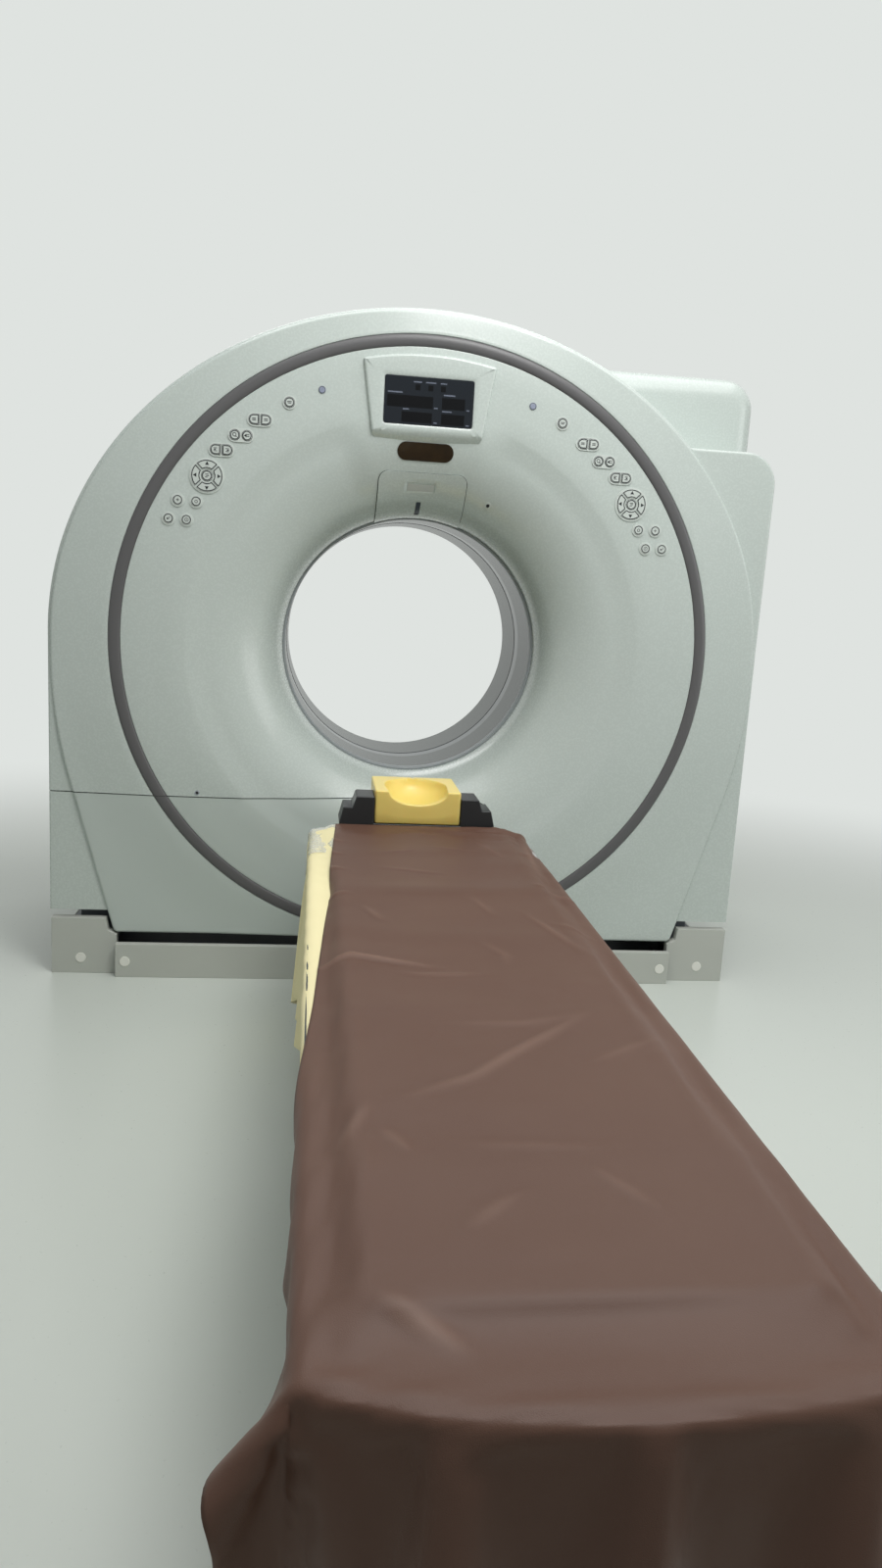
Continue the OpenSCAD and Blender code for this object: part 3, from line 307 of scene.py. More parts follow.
def make_piece(name, points, faces, material, sharp=32.0, outwards=True):
    """A mesh object at the origin from an array of points in millimetres and a list of faces."""
    mesh = bpy.data.meshes.new(name)
    mesh.from_pydata((np.asarray(points, float).reshape(-1, 3) / 1000).tolist(), [], faces)
    return dress_mesh(name, mesh, material, sharp, outwards)


def dress_mesh(name, mesh, material, sharp=32.0, outwards=True):
    """Merges doubled points, turns faces outwards, shades smooth up to the sharp angle."""
    work = bmesh.new()
    work.from_mesh(mesh)
    bmesh.ops.remove_doubles(work, verts=work.verts, dist=1e-6)
    bmesh.ops.dissolve_degenerate(work, edges=work.edges, dist=1e-7)
    if outwards:
        bmesh.ops.recalc_face_normals(work, faces=work.faces)
    work.to_mesh(mesh)
    work.free()
    mesh.materials.clear()
    mesh.materials.append(material)
    mesh.shade_smooth()
    mesh.set_sharp_from_angle(angle=math.radians(sharp))
    piece = bpy.data.objects.new(name, mesh)
    bpy.context.scene.collection.objects.link(piece)
    return piece


def loft(name, rows, material, sharp=32.0, closed=False):
    """A solid from rows of points, each row a closed ring. Open lofts get a flat cap at each end."""
    rows = np.asarray(rows, float)
    count, width = rows.shape[:2]
    faces = grid_faces(count, width, closed, True)
    if not closed:
        faces += [list(range(width)), list(range((count - 1) * width, count * width))]
    return make_piece(name, rows, faces, material, sharp)


def applied(piece):
    """Replaces the piece's mesh by what its modifiers make of it."""
    bpy.context.view_layer.update()
    graph = bpy.context.evaluated_depsgraph_get()
    mesh = bpy.data.meshes.new_from_object(piece.evaluated_get(graph))
    piece.modifiers.clear()
    piece.data = mesh
    return piece


def stands_for(piece, *nodes):
    """The piece replaces these CAD nodes and rides on their body."""
    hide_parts(*nodes)
    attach(piece, body_of_node[nodes[0]])
    return piece


def added(piece, body="gantry"):
    """A detail without a CAD node: it rides on a body."""
    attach(piece, body)
    return piece


def turned(name, profile, material, segments=288, sharp=32.0):
    """A closed profile of (radius, y) turned round the bore axis:
    point = (r cos t, y, iso + r sin t)."""
    t = np.linspace(0, 2 * np.pi, segments, endpoint=False)[:, None]
    r, y = np.asarray(profile, float).T
    points = np.stack([r * np.cos(t), np.broadcast_to(y, (segments, len(y))), ISO + r * np.sin(t)], -1)
    return loft(name, points, material, sharp, closed=True)


def arc(centre, radius, start, end, count=8):
    """Points on a circle: centre + radius (cos t, sin t), t from start to end in degrees."""
    t = np.radians(np.linspace(start, end, count))
    return np.stack([centre[0] + radius * np.cos(t), centre[1] + radius * np.sin(t)], -1)


def outward(path, closed=True):
    """Unit normals of a path that runs anticlockwise: (dz, -dx) over its length."""
    along = np.roll(path, -1, 0) - np.roll(path, 1, 0) if closed else np.gradient(path, axis=0)
    side = np.stack([along[:, 1], -along[:, 0]], -1)
    return side / np.linalg.norm(side, axis=1, keepdims=True)


def evenly(path, count, closed=True):
    """The same path with count points at equal steps along its length."""
    ends = np.vstack([path, path[:1]]) if closed else path
    run = np.r_[0, np.cumsum(np.linalg.norm(np.diff(ends, axis=0), axis=1))]
    at = np.linspace(0, run[-1], count, endpoint=not closed)
    return np.stack([np.interp(at, run, ends[:, k]) for k in (0, 1)], -1)


def eased(path, times):
    """Rounds the corners of a closed path: each point moves to (before + 2 here + after) / 4."""
    for _ in range(times):
        path = (np.roll(path, 1, 0) + 2 * path + np.roll(path, -1, 0)) / 4
    return path


print("grid helpers ready")

# %% [markdown]
# ## The dish of the front cover
# The face round the tunnel is one large moulding. It is flat where the keys sit, and curves
# back into the bore like a bell, which leaves room for a patient's elbows when the gantry
# tilts. A quarter of an ellipse has that shape, and being a part of a turned body, its profile
# is turned round the bore axis. Its outer edge ends in a groove for the bead.

# %% Turned dish and bead
FRONT = -490.0
WALL = 5.0
MOUTH_R, MOUTH_Y = 381.0, -265.0
BELL_R = 650.0
BEAD_IN, BEAD_OUT, BEAD_BULGE = 818.0, 850.0, 6.0
GROOVE_Y = -465.7
FIT = 0.3


def bell(depth, count=40):
    """Quarter of an ellipse from the mouth of the tunnel to the flat face, moved in by depth:
    r = R - (R - mouth + ...) cos t, y = mouth y - (225 - depth) sin t."""
    t = np.linspace(0, np.pi / 2, count)
    return np.stack([BELL_R - (BELL_R - MOUTH_R - depth) * np.cos(t),
                     MOUTH_Y - (MOUTH_Y - FRONT - depth) * np.sin(t)], -1)


def face_depth(r):
    """Y of the visible face at radius r: bell, then flat, then the band falling 14 mm."""
    angle = np.arccos(np.clip((BELL_R - r) / (BELL_R - MOUTH_R), 0, 1))
    inner = MOUTH_Y - (MOUTH_Y - FRONT) * np.sin(angle)
    return np.where(r < BELL_R, inner, FRONT + 14 * np.clip((r - BEAD_OUT) / 153, 0, 1))


CREASE_SLOPE, CREASE_R = 0.26, 590.0


def crease_dip(x, z):
    """How far the dish lies behind the ellipse: from a soft crease at the bell's outer radius
    it falls straight at about 1 in 4, then the dip fades to nothing at the mouth. Under the
    display, where fittings stand, there is none."""
    r = np.clip(np.hypot(x, z), MOUTH_R, BELL_R)
    ellipse = (MOUTH_Y - FRONT) * (1 - np.sqrt(1 - ((BELL_R - r) / (BELL_R - MOUTH_R)) ** 2))
    straight = np.clip(CREASE_SLOPE * (BELL_R - r) - ellipse, 0, None)
    full = CREASE_SLOPE * (BELL_R - CREASE_R) - (MOUTH_Y - FRONT) * (
        1 - math.sqrt(1 - ((BELL_R - CREASE_R) / (BELL_R - MOUTH_R)) ** 2))
    faded = full * (r - MOUTH_R) / (CREASE_R - MOUTH_R)
    from_top = np.degrees(np.abs(np.arctan2(x, np.maximum(z, 1e-6))))
    share = np.where(z > 0, np.clip((from_top - 15) / 9, 0, 1), 1.0)
    return np.where(r > CREASE_R, straight, faded) * share * share * (3 - 2 * share)


edge = BEAD_IN - FIT
dish_profile = np.vstack([
    bell(0), [[700, FRONT], [760, FRONT]], arc((edge - 2.5, FRONT + 2.5), 2.5, -90, 0, 6),
    [[edge, GROOVE_Y], [BEAD_OUT, GROOVE_Y], [BEAD_OUT, GROOVE_Y + 3], [edge - WALL, GROOVE_Y + 3],
     [edge - WALL, FRONT + WALL]], bell(WALL)[::-1],
])
way = np.linspace(0, 2 * np.pi, 288, endpoint=False)[:, None]
dish_r, dish_y = dish_profile.T
dish_x, dish_z = dish_r * np.cos(way), dish_r * np.sin(way)
dish_points = np.stack([dish_x, dish_y + crease_dip(dish_x, dish_z), ISO + dish_z], -1)
dish = loft("dish_cover", dish_points, cover_lacquer, closed=True)
round_half = np.linspace(0, np.pi, 25)
bead_profile = np.vstack([
    np.stack([834 - 16 * np.cos(round_half), FRONT + 2 - BEAD_BULGE * np.sin(round_half)], -1),
    [[BEAD_OUT, FRONT + 24], [BEAD_IN, FRONT + 24]],
])
bead = turned("trim_bead", bead_profile, bead_pvc)
print("dish", len(dish.data.vertices), "bead", len(bead.data.vertices))

# %% [markdown]
# ## The outer band
# Outside the bead the face falls back a little and rolls over into a narrow wall. Its outline
# is half an ellipse on top, then nearly straight sides that lean in towards the foot. The
# cross-section is the same everywhere, but is stretched between the bead and that outline, so
# it is computed as one grid: rows round the outline, columns across the band.

# %% Band between the bead and the edge of the face
FACE_A, FACE_B, FACE_LOW = 1008.0, 913.0, -857.0
TURN_Z, TURN_R, TURN_DEG = -60.0, 1300.0, 15.5
STRIP_Y = -466.0


def side_x(z):
    """Half width of the face at height z under the axis: upright, then round a circle of
    radius 1300 through 15.5 degrees, then a straight slope."""
    end_z = TURN_Z - TURN_R * math.sin(math.radians(TURN_DEG))
    lean = np.arcsin(np.clip((TURN_Z - z) / TURN_R, 0, math.sin(math.radians(TURN_DEG))))
    slope = math.tan(math.radians(TURN_DEG))
    return FACE_A - TURN_R * (1 - np.cos(lean)) - np.clip(end_z - z, 0, None) * slope


def half_arch(a, b, count):
    """Half an ellipse from right over the top to left: (a cos t, b sin t)."""
    t = np.linspace(0, np.pi, count)
    return np.stack([a * np.cos(t), b * np.sin(t)], -1)


z_down = np.linspace(0, FACE_LOW, 80)
left_side = np.stack([-side_x(z_down), z_down], -1)
face_path = np.vstack([half_arch(FACE_A, FACE_B, 361), left_side[1:], left_side[:0:-1] * (-1, 1)])
face_path = eased(evenly(face_path, 900), 3)
face_normal = outward(face_path)


def band_rows():
    """Rows of (x, y, z): groove wall, small fillet, falling face, rolled edge, back wall, and
    the inside of the wall on the way back."""
    start = BEAD_OUT + FIT
    gap = np.linalg.norm(face_path, axis=1, keepdims=True) - start
    wall, fillet = np.minimum(WALL, 0.42 * gap), np.minimum(2.5, 0.2 * gap)
    roll = np.minimum(9.0, 0.5 * gap)
    inset = face_path - roll * face_normal
    inset_r = np.linalg.norm(inset, axis=1, keepdims=True)
    unit = inset / inset_r
    columns = []

    def put(flat, depth):
        level = np.broadcast_to(np.ravel(depth), len(flat))
        columns.append(np.stack([flat[:, 0], level, ISO + flat[:, 1]], -1))

    put(start * unit, GROOVE_Y + 3)
    for t in np.radians(np.linspace(0, 90, 5)):
        put((start + fillet * (1 - math.cos(t))) * unit, FRONT + fillet * (1 - math.sin(t)))
    for s in np.linspace(0, 1, 9)[1:]:
        flat = (start + fillet) * unit * (1 - s) + inset * s
        put(flat, face_depth(np.linalg.norm(flat, axis=1)))
    for t in np.radians(np.linspace(0, 90, 9)[1:]):
        put(inset + roll * math.sin(t) * face_normal,
            face_depth(inset_r[:, 0]) + roll[:, 0] * (1 - math.cos(t)))
    put(face_path, -450)
    put(face_path - wall * face_normal, -450)
    put(face_path - wall * face_normal, face_depth(inset_r[:, 0]) + roll[:, 0] + wall[:, 0] * 0.2)
    for s in (1.0, 0.5, 0.0):
        flat = (start + wall) * unit * (1 - s) + inset * s
        put(flat, face_depth(np.linalg.norm(flat, axis=1)) + wall[:, 0])
    put((start + wall) * unit, GROOVE_Y + 3)
    return np.stack(columns, 1)


band = loft("face_band", band_rows(), cover_lacquer, closed=True)
print("band", len(band.data.vertices))

# %% [markdown]
# ## The service cover
# The lower left part of the face comes off for service. Its seam runs level from the left
# edge to just right of the middle, turns down round a small corner, and crosses dish, bead
# and band alike. On the real machine each moulding stops there, so each piece is cut in two
# with a Boolean, and the lower parts are joined into one cover. A near-black strip behind the
# gap paints its shade.

# %% Seam
SEAM_Z, SEAM_X, SEAM_GAP, SEAM_CORNER = -445.0, 235.0, 3.0, 15.0


def seam_path(grow):
    """The seam's line moved up and right by grow: level, a quarter circle, then down."""
    r = SEAM_CORNER + grow
    corner = arc((SEAM_X - SEAM_CORNER, SEAM_Z - SEAM_CORNER), r, 90, 0, 9)
    return np.vstack([[[-1100, SEAM_Z + grow]], corner, [[SEAM_X + grow, -1000]]])


def prism(name, outline, y0, y1, material=gap_shade_and_dark_glass):
    """A flat outline in the XZ plane, carried from y0 to y1."""
    outline = np.asarray(outline, float)
    rows = [np.stack([outline[:, 0], np.full(len(outline), y), ISO + outline[:, 1]], -1) for y in (y0, y1)]
    return loft(name, rows, material)


def cut(piece, tool, operation):
    """Applies a Boolean to the piece with a tool of closed faces."""
    boolean = piece.modifiers.new("cut", "BOOLEAN")
    boolean.operation, boolean.solver, boolean.object = operation, "MANIFOLD", tool
    applied(piece)
    piece.data.set_sharp_from_angle(angle=math.radians(32))
    return piece


def copied(piece, name):
    """A second object with its own copy of the mesh."""
    twin = bpy.data.objects.new(name, piece.data.copy())
    bpy.context.scene.collection.objects.link(twin)
    return twin


def service_block(name, grow):
    """The space that the service cover takes, wider by grow."""
    return prism(name, np.vstack([seam_path(grow), [[-1100, -1000]]]), -530, MOUTH_Y)


def seam_blade(name, half, y0, y1):
    """A thin blade along the seam, 2 half thick."""
    return prism(name, np.vstack([seam_path(half), seam_path(-half)[::-1]]), y0, y1)


outer_block = service_block("outer_block", SEAM_GAP / 2)
inner_block = service_block("inner_block", -SEAM_GAP / 2)
service_dish, service_band = copied(dish, "service_dish"), copied(band, "service_band")
for piece in (dish, band):
    cut(piece, outer_block, "DIFFERENCE")
for piece in (service_dish, service_band):
    cut(piece, inner_block, "INTERSECT")
bead_blade = seam_blade("bead_blade", 0.5, -530, MOUTH_Y)
cut(bead, bead_blade, "DIFFERENCE")


def joined(name, pieces, material):
    """One object from several meshes."""
    work = bmesh.new()
    for piece in pieces:
        work.from_mesh(piece.data)
        bpy.data.objects.remove(piece)
    mesh = bpy.data.meshes.new(name)
    work.to_mesh(mesh)
    work.free()
    return dress_mesh(name, mesh, material, outwards=False)


service = joined("service_cover", [service_dish, service_band], service_lacquer)
stands_for(dish, "dish_panel")
stands_for(bead, "trim_ring")
print("service cover", len(service.data.vertices))

# %% [markdown]
# ## The shell behind the face
# A step of ten millimetres behind the face stands the wide shell that closes the sides. Seen
# from the table it shows as a narrow rim over the arch and as two strips beside the lower
# half. Rim, strips and sides are one moulding with a rolled edge.

# %% Shell with its side strips
SHELL_A, SHELL_B, SHELL_LOW = 1016.0, 921.0, -792.0
SHELL_BACK = 474.0

z_side = np.linspace(SHELL_LOW, 0, 60, endpoint=False)
shell_path = np.vstack([np.stack([np.full(60, SHELL_A), z_side], -1), half_arch(SHELL_A, SHELL_B, 361),
                        np.stack([np.full(60, -SHELL_A), z_side[::-1]], -1)])
inner_path = np.vstack([np.stack([side_x(z_side) - 1, z_side], -1), half_arch(FACE_A - 1, FACE_B - 1, 361),
                        np.stack([1 - side_x(z_side[::-1]), z_side[::-1]], -1)])
shell_normal = outward(shell_path, closed=False)


def shell_rows(outer, inner, normal, front, back, roll_mm, wall_mm, across=5):
    """Rows round a cover: from the inner path over the front face, round a rolled edge, back
    along the side, and home along the inside of the wall."""
    room = np.linalg.norm(outer - inner, axis=1, keepdims=True)
    roll, wall = np.minimum(roll_mm, 0.8 * room), np.minimum(wall_mm, 0.6 * room + 0.5)
    columns = []

    def put(flat, depth):
        level = np.broadcast_to(np.ravel(depth), len(flat))
        columns.append(np.stack([flat[:, 0], level, ISO + flat[:, 1]], -1))

    inset = outer - roll * normal
    for s in np.linspace(0, 1, across):
        put(inner * (1 - s) + inset * s, front)
    for t in np.radians(np.linspace(0, 90, 10)[1:]):
        put(inset + roll * math.sin(t) * normal, front + roll[:, 0] * (1 - math.cos(t)))
    for y in np.linspace(front + roll_mm + 10, back, 6):
        put(outer, y)
    put(outer - wall * normal, back)
    put(outer - wall * normal, front + np.maximum(wall, roll)[:, 0])
    put(inner, front + wall[:, 0])
    return np.stack(columns, 1)


shell = loft("arch_and_side_shell",
             shell_rows(shell_path, inner_path, shell_normal, STRIP_Y, SHELL_BACK, 6.0, WALL), cover_lacquer)
strip_blade = seam_blade("strip_blade", SEAM_GAP / 2, -530, -452)
cut(shell, strip_blade, "DIFFERENCE")
stands_for(shell, "arch_shell")
stands_for(band, "front_cover")
stands_for(service, "lower_cover")

# %% Painted shade behind the seam
gap_shade_run = evenly(seam_path(0)[:-1], 220, closed=False)
gap_shade_run = gap_shade_run[np.linalg.norm(gap_shade_run, axis=1) < 1000]
gap_shade_side = outward(gap_shade_run[::-1], closed=False)[::-1]
gap_shade_y = face_depth(np.linalg.norm(gap_shade_run, axis=1)) + crease_dip(*gap_shade_run.T) + WALL + 1.5
gap_shade_rows = np.stack([np.stack([gap_shade_run[:, 0] + s * gap_shade_side[:, 0], gap_shade_y + d,
                                ISO + gap_shade_run[:, 1] + s * gap_shade_side[:, 1]], -1)
                      for s, d in ((-9, 0), (9, 0), (9, 5), (-9, 5))], 1)
# Painted shade: a near-black strip behind the seam keeps the gap dark.
added(loft("seam_gap_shade_strip", gap_shade_rows, gap_shade_and_dark_glass))
for tool in (outer_block, inner_block, bead_blade, strip_blade):
    bpy.data.objects.remove(tool)
print("shell", len(shell.data.vertices))

# %% [markdown]
# ## The shoulder housings
# Two housings stand on the right of the arch: a lower one flush with the strips, and a deeper
# set upper one with a large soft roll to its front. Each is the same kind of shell, from the
# arch's own curve out to a block with one round corner.

# %% Shoulders
LOW_X, LOW_Z, UP_X, UP_Z, SHOULDER_R, UP_FRONT = 1020.0, 612.0, 1008.0, 845.0, 92.0, -300.0


def shoulder(name, x1, z1, foot_x, foot_z, front, roll, grow):
    """Outer path: over the top from where it leaves the arch, round a corner, and down the
    side. Inner path: the same span of the arch's ellipse."""
    a, b = SHELL_A + grow, SHELL_B + grow
    start_x = a * math.sqrt(1 - (z1 / b) ** 2)
    corner = arc((x1 - SHOULDER_R, z1 - SHOULDER_R), SHOULDER_R, 90, 0, 24)
    path = np.vstack([[[start_x, z1]], [[start_x + 12, z1]], corner, [[foot_x, foot_z]]])
    path = evenly(path, 120, closed=False)
    t = np.linspace(math.asin(z1 / b), math.asin(foot_z / b), 120)
    inner = np.stack([a * np.cos(t), b * np.sin(t)], -1)
    normal = outward(path[::-1], closed=False)[::-1]
    return loft(name, shell_rows(path, inner, normal, front, SHELL_BACK, roll, WALL, across=8), cover_lacquer)


OVER_RIM = FACE_A + 0.6 - SHELL_A
lower_shoulder = shoulder("lower_shoulder_cover", LOW_X, LOW_Z, SHELL_A + 0.4, -20.0, STRIP_Y - 0.4, 9.0,
                          OVER_RIM)
upper_shoulder = shoulder("upper_shoulder_cover", UP_X, UP_Z, UP_X, 572.0, UP_FRONT, 62.0, -2.0)
stands_for(lower_shoulder, "lower_shoulder")
stands_for(upper_shoulder, "upper_shoulder")
print("shoulders", len(lower_shoulder.data.vertices), len(upper_shoulder.data.vertices))

# %% [markdown]
# ## The tunnel
# The tunnel is lined with glossy sheet, with a grey scan window round its middle and a grey
# lip where it meets the face.

# %% Tunnel liner, lip and window
LINER_R, LINER_T, WINDOW_Y, TUNNEL_END = 378.0, 4.0, 35.0, 269.0
liner_parts = []
for name, y0, y1 in (("front_liner", MOUTH_Y, -WINDOW_Y), ("rear_liner", WINDOW_Y, TUNNEL_END)):
    profile = [(LINER_R, y0), (LINER_R, y1), (LINER_R + LINER_T, y1), (LINER_R + LINER_T, y0)]
    liner_parts.append(turned(name, profile, liner_acrylic))
ledge_profile = [(LINER_R, TUNNEL_END - WALL), (LINER_R, TUNNEL_END), (LINER_R + 22, TUNNEL_END),
                 (LINER_R + 22, TUNNEL_END - WALL)]
liner_parts.append(turned("rear_ledge", ledge_profile, liner_acrylic))
stands_for(joined("tunnel_liner", liner_parts, liner_acrylic), "bore_liner")
LIP_L = 30.0
lip_profile = np.vstack([
    arc((LINER_R + 1, MOUTH_Y), 5.0, 290, 180, 8),
    [[LINER_R - 2.4, MOUTH_Y + LIP_L], [LINER_R - 0.1, MOUTH_Y + LIP_L + 3],
     [LINER_R - 0.1, MOUTH_Y + 4], [LINER_R + 1.5, MOUTH_Y + 1]]])
added(turned("mouth_lip", lip_profile, lip_rubber))
window_profile = [(LINER_R + 1, -WINDOW_Y), (LINER_R + 1, WINDOW_Y), (LINER_R + 2.5, WINDOW_Y),
                  (LINER_R + 2.5, -WINDOW_Y)]
window = turned("scan_window", window_profile, band_film)
stands_for(window, "bore_window")
print("tunnel done")

# %% [markdown]
# ## Nodes that only need softer edges
# A pressed, cast or machined part never has a perfectly sharp edge: its edges catch the
# light. For pieces whose CAD shape is already right, a copy of the node gets its points
# merged and a small bevel, and stands for the node.

# %% Softened copies of CAD nodes


def softened(node, material, bevel=1.5, segments=2, angle=32.0, sharp=32.0):
    """A copy of a CAD node with merged points, whole flat faces and bevelled edges."""
    mesh = frame["nodes"][node].data.copy()
    work = bmesh.new()
    work.from_mesh(mesh)
    bmesh.ops.remove_doubles(work, verts=work.verts, dist=2e-5)
    bmesh.ops.dissolve_limit(work, angle_limit=math.radians(0.4), verts=work.verts, edges=work.edges)
    work.to_mesh(mesh)
    work.free()
    piece = dress_mesh(node + "_finished", mesh, material, sharp, outwards=False)
    if bevel:
        edge = piece.modifiers.new("softened edges", "BEVEL")
        edge.width, edge.segments = bevel / 1000, segments
        edge.limit_method, edge.angle_limit = "ANGLE", math.radians(angle)
        edge.harden_normals, edge.use_clamp_overlap = True, True
    return stands_for(piece, node)


soft_edges = {
    "base_frame": (welded_steel, 1.5), "trunnion_towers": (welded_steel, 2),
    "tilt_gearbox": (gearbox_cast, 3), "front_skirt": (skirt_powder, 1.5), "rear_skirt": (skirt_powder, 1.5),
    "foot_blocks": (skirt_powder, 1.5), "skirt_caps": (plug_polypropylene, 0.6),
    "tilt_frame": (welded_steel, 1.5), "main_bearing": (bearing_ground, 0.5),
    "rotor_drum": (drum_aluminium, 1), "xray_tube": (housing_enamel, 4),
    "hv_generator": (generator_enamel, 4), "detector_arc": (detector_anodised, 1.5),
    "collimator": (detector_anodised, 1.5), "slip_ring": (ring_brass, 0.6),
    "table_base": (welded_steel, 1.5), "pedestal_lower": (pedestal_powder, 1.2),
    "pedestal_middle": (pedestal_powder, 1.2), "pedestal_upper": (pedestal_powder, 1.2),
    "table_frame": (pedestal_powder, 2), "cradle": (carbon_fibre, 3), "head_holder": (holder_nylon, 3),
    "display_glass": (display_acrylic, 0.4), "status_window": (window_acrylic, 0.2),
    "light_panel": (cover_lacquer, 0.8), "key_rims": (key_thermoplastic, 1.0),
    "indicator_lamps": (lamp_polycarbonate, 0.8), "rear_cover": (cover_lacquer, 2.2),
}
for node, (material, bevel) in soft_edges.items():
    softened(node, material, bevel)
for node in frame["nodes"]:
    if node.startswith(("key_l_", "key_r_")):
        softened(node, key_thermoplastic, 0.6)
print("softened", len(soft_edges))

# %% [markdown]
# ## Print on the keys
# Each key carries a dark printed outline just inside its edge and a small sign. The outlines
# are thin strokes along a path, and the signs small flat shapes. They stand a fifth of a
# millimetre proud of the key and ride with it. The signs are plain arrows, bars and rings.
# A near-black ring set back in the gap round each key paints that gap's shade.

# %% Strokes and signs
PRINT_FRONT, PRINT_BACK = -494.75, -494.45
# The rings of painted shade in the gaps round the keys lie this much further back.
KEY_GAP_SHADE_BACK = 1.75
KEY_R, HALF_PITCH, CENTRE_R, ARROW_R = 13.2, 16.25, 14.0, 42.0


def stroke(path, width, closed=True):
    """Points and faces of a thin raised line along a path in the XZ plane."""
    path = np.asarray(path, float)
    side = outward(path, closed) * width / 2
    columns = [(path + side, PRINT_BACK), (path + side, PRINT_FRONT),
               (path - side, PRINT_FRONT), (path - side, PRINT_BACK)]
    rows = np.stack([np.stack([p[:, 0], np.full(len(p), y), p[:, 1]], -1) for p, y in columns], 1)
    faces = grid_faces(len(path), 4, closed, True)
    if not closed:
        faces += [[0, 1, 2, 3], [4 * len(path) - 4 + k for k in range(4)]]
    return rows.reshape(-1, 3), faces


def shape(outline):
    """Points and faces of a thin raised flat shape."""
    outline = np.asarray(outline, float)
    n = len(outline)
    points = np.vstack([np.stack([outline[:, 0], np.full(n, y), outline[:, 1]], -1)
                        for y in (PRINT_BACK, PRINT_FRONT)])
    return points, grid_faces(2, n, False, True) + [list(range(n)), list(range(n, 2 * n))]


def bar(x, z, w, h):
    """A small rectangle about (x, z)."""
    return shape(np.array([(-w, -h), (w, -h), (w, h), (-w, h)]) / 2 + (x, z))


def triangle(x, z, size, turn):
    """A triangle about (x, z) that points up, turned by so many degrees."""
    corners = arc((0, 0), size, 90 + turn, 90 + turn + 240, 3)
    return shape(corners + (x, z))


def ring_line(x, z, r, width):
    """A printed circle."""
    return stroke(arc((x, z), r, 0, 360 - 360 / 40, 40), width)


def printed(name, parts, x, z, body, behind=0.0):
    """Joins strokes and shapes into one sign at a place on the face, set back by behind."""
    points, faces, count = [], [], 0
    for part_points, part_faces in parts:
        points.append(part_points + (x, behind, ISO + z))
        faces += [[count + v for v in face] for face in part_faces]
        count += len(part_points)
    return added(make_piece(name, np.vstack(points), faces, key_print_and_gap_shade), body)


def d_path(side, inset):
    """Outline of half a capsule, flat side towards its twin, drawn inset from its edge."""
    r = KEY_R - inset
    flat_x = side * (2.6 - HALF_PITCH + inset)
    half = arc((0, 0), r, -90, 90, 20) * (side, 1)
    path = np.vstack([[[flat_x, -r]], half, [[flat_x, r]]])
    return evenly(path if side > 0 else path[::-1], 60)


def segment_path(turn, inset=2.2):
    """Outline of one arrow key: a quarter of a ring, drawn inset from its edge."""
    r0, r1 = CENTRE_R + 5 + inset, ARROW_R - inset
    half0, half1 = 45 - math.degrees((1.5 + inset) / r0), 45 - math.degrees((1.5 + inset) / r1)
    return evenly(np.vstack([arc((0, 0), r1, turn - half1, turn + half1, 20),
                             arc((0, 0), r0, turn + half0, turn - half0, 14)]), 90)


LINE = 2.6
signs = {
    "single": [bar(0, 1.9, 12, 2.0), bar(0, -1.9, 9, 2.0)],
    "upper_a": [bar(0.5, 1.8, 10, 2.2), bar(0.5, -2.0, 10, 1.8)],
    "upper_b": [bar(-0.5, 1.8, 10, 2.2), bar(-0.5, -2.0, 10, 1.8)],
    "mid_a": [ring_line(-1, 1, 4.4, 1.8), bar(3, -4, 6, 1.8)],
    "mid_b": [triangle(-3.5, 0, 5.4, 90), bar(3, 2.4, 6, 2.0), bar(3, -2.4, 6, 2.0)],
    "low_a": [bar(0.5, 3.6, 9, 1.7), bar(-1, -0.2, 5, 3.4), bar(0.5, -4.0, 9, 1.7)],
    "low_b": [bar(-0.5, 3.6, 9, 1.7), bar(1, -0.2, 5, 3.4), bar(-0.5, -4.0, 9, 1.7)],
    "centre": [bar(0, 3.8, 9, 1.8), bar(1.5, 0, 8, 1.8), bar(-1.5, -3.8, 7, 1.8)],
}
places = {"single": (375, 647), "upper": (452, 597), "mid": (501.5, 553), "low": (552.5, 512),
          "centre": (589.5, 442)}
quarters = (0, 90, 180, 270)
ARROW_AT, ARROW_SIZE = 31, 6.2
round_keys = {(666, 374): [bar(0, 0, 8, 1.5), bar(0, 0, 1.5, 8)],
              (617, 373): [ring_line(0, -0.5, 3.6, 1.3)],
              (690, 324): [bar(-2, -1, 5, 4), bar(3, 2, 1.4, 6)],
              (642, 323): [ring_line(0, 0, 4.6, 1.2), bar(0, 0, 1.4, 4)]}
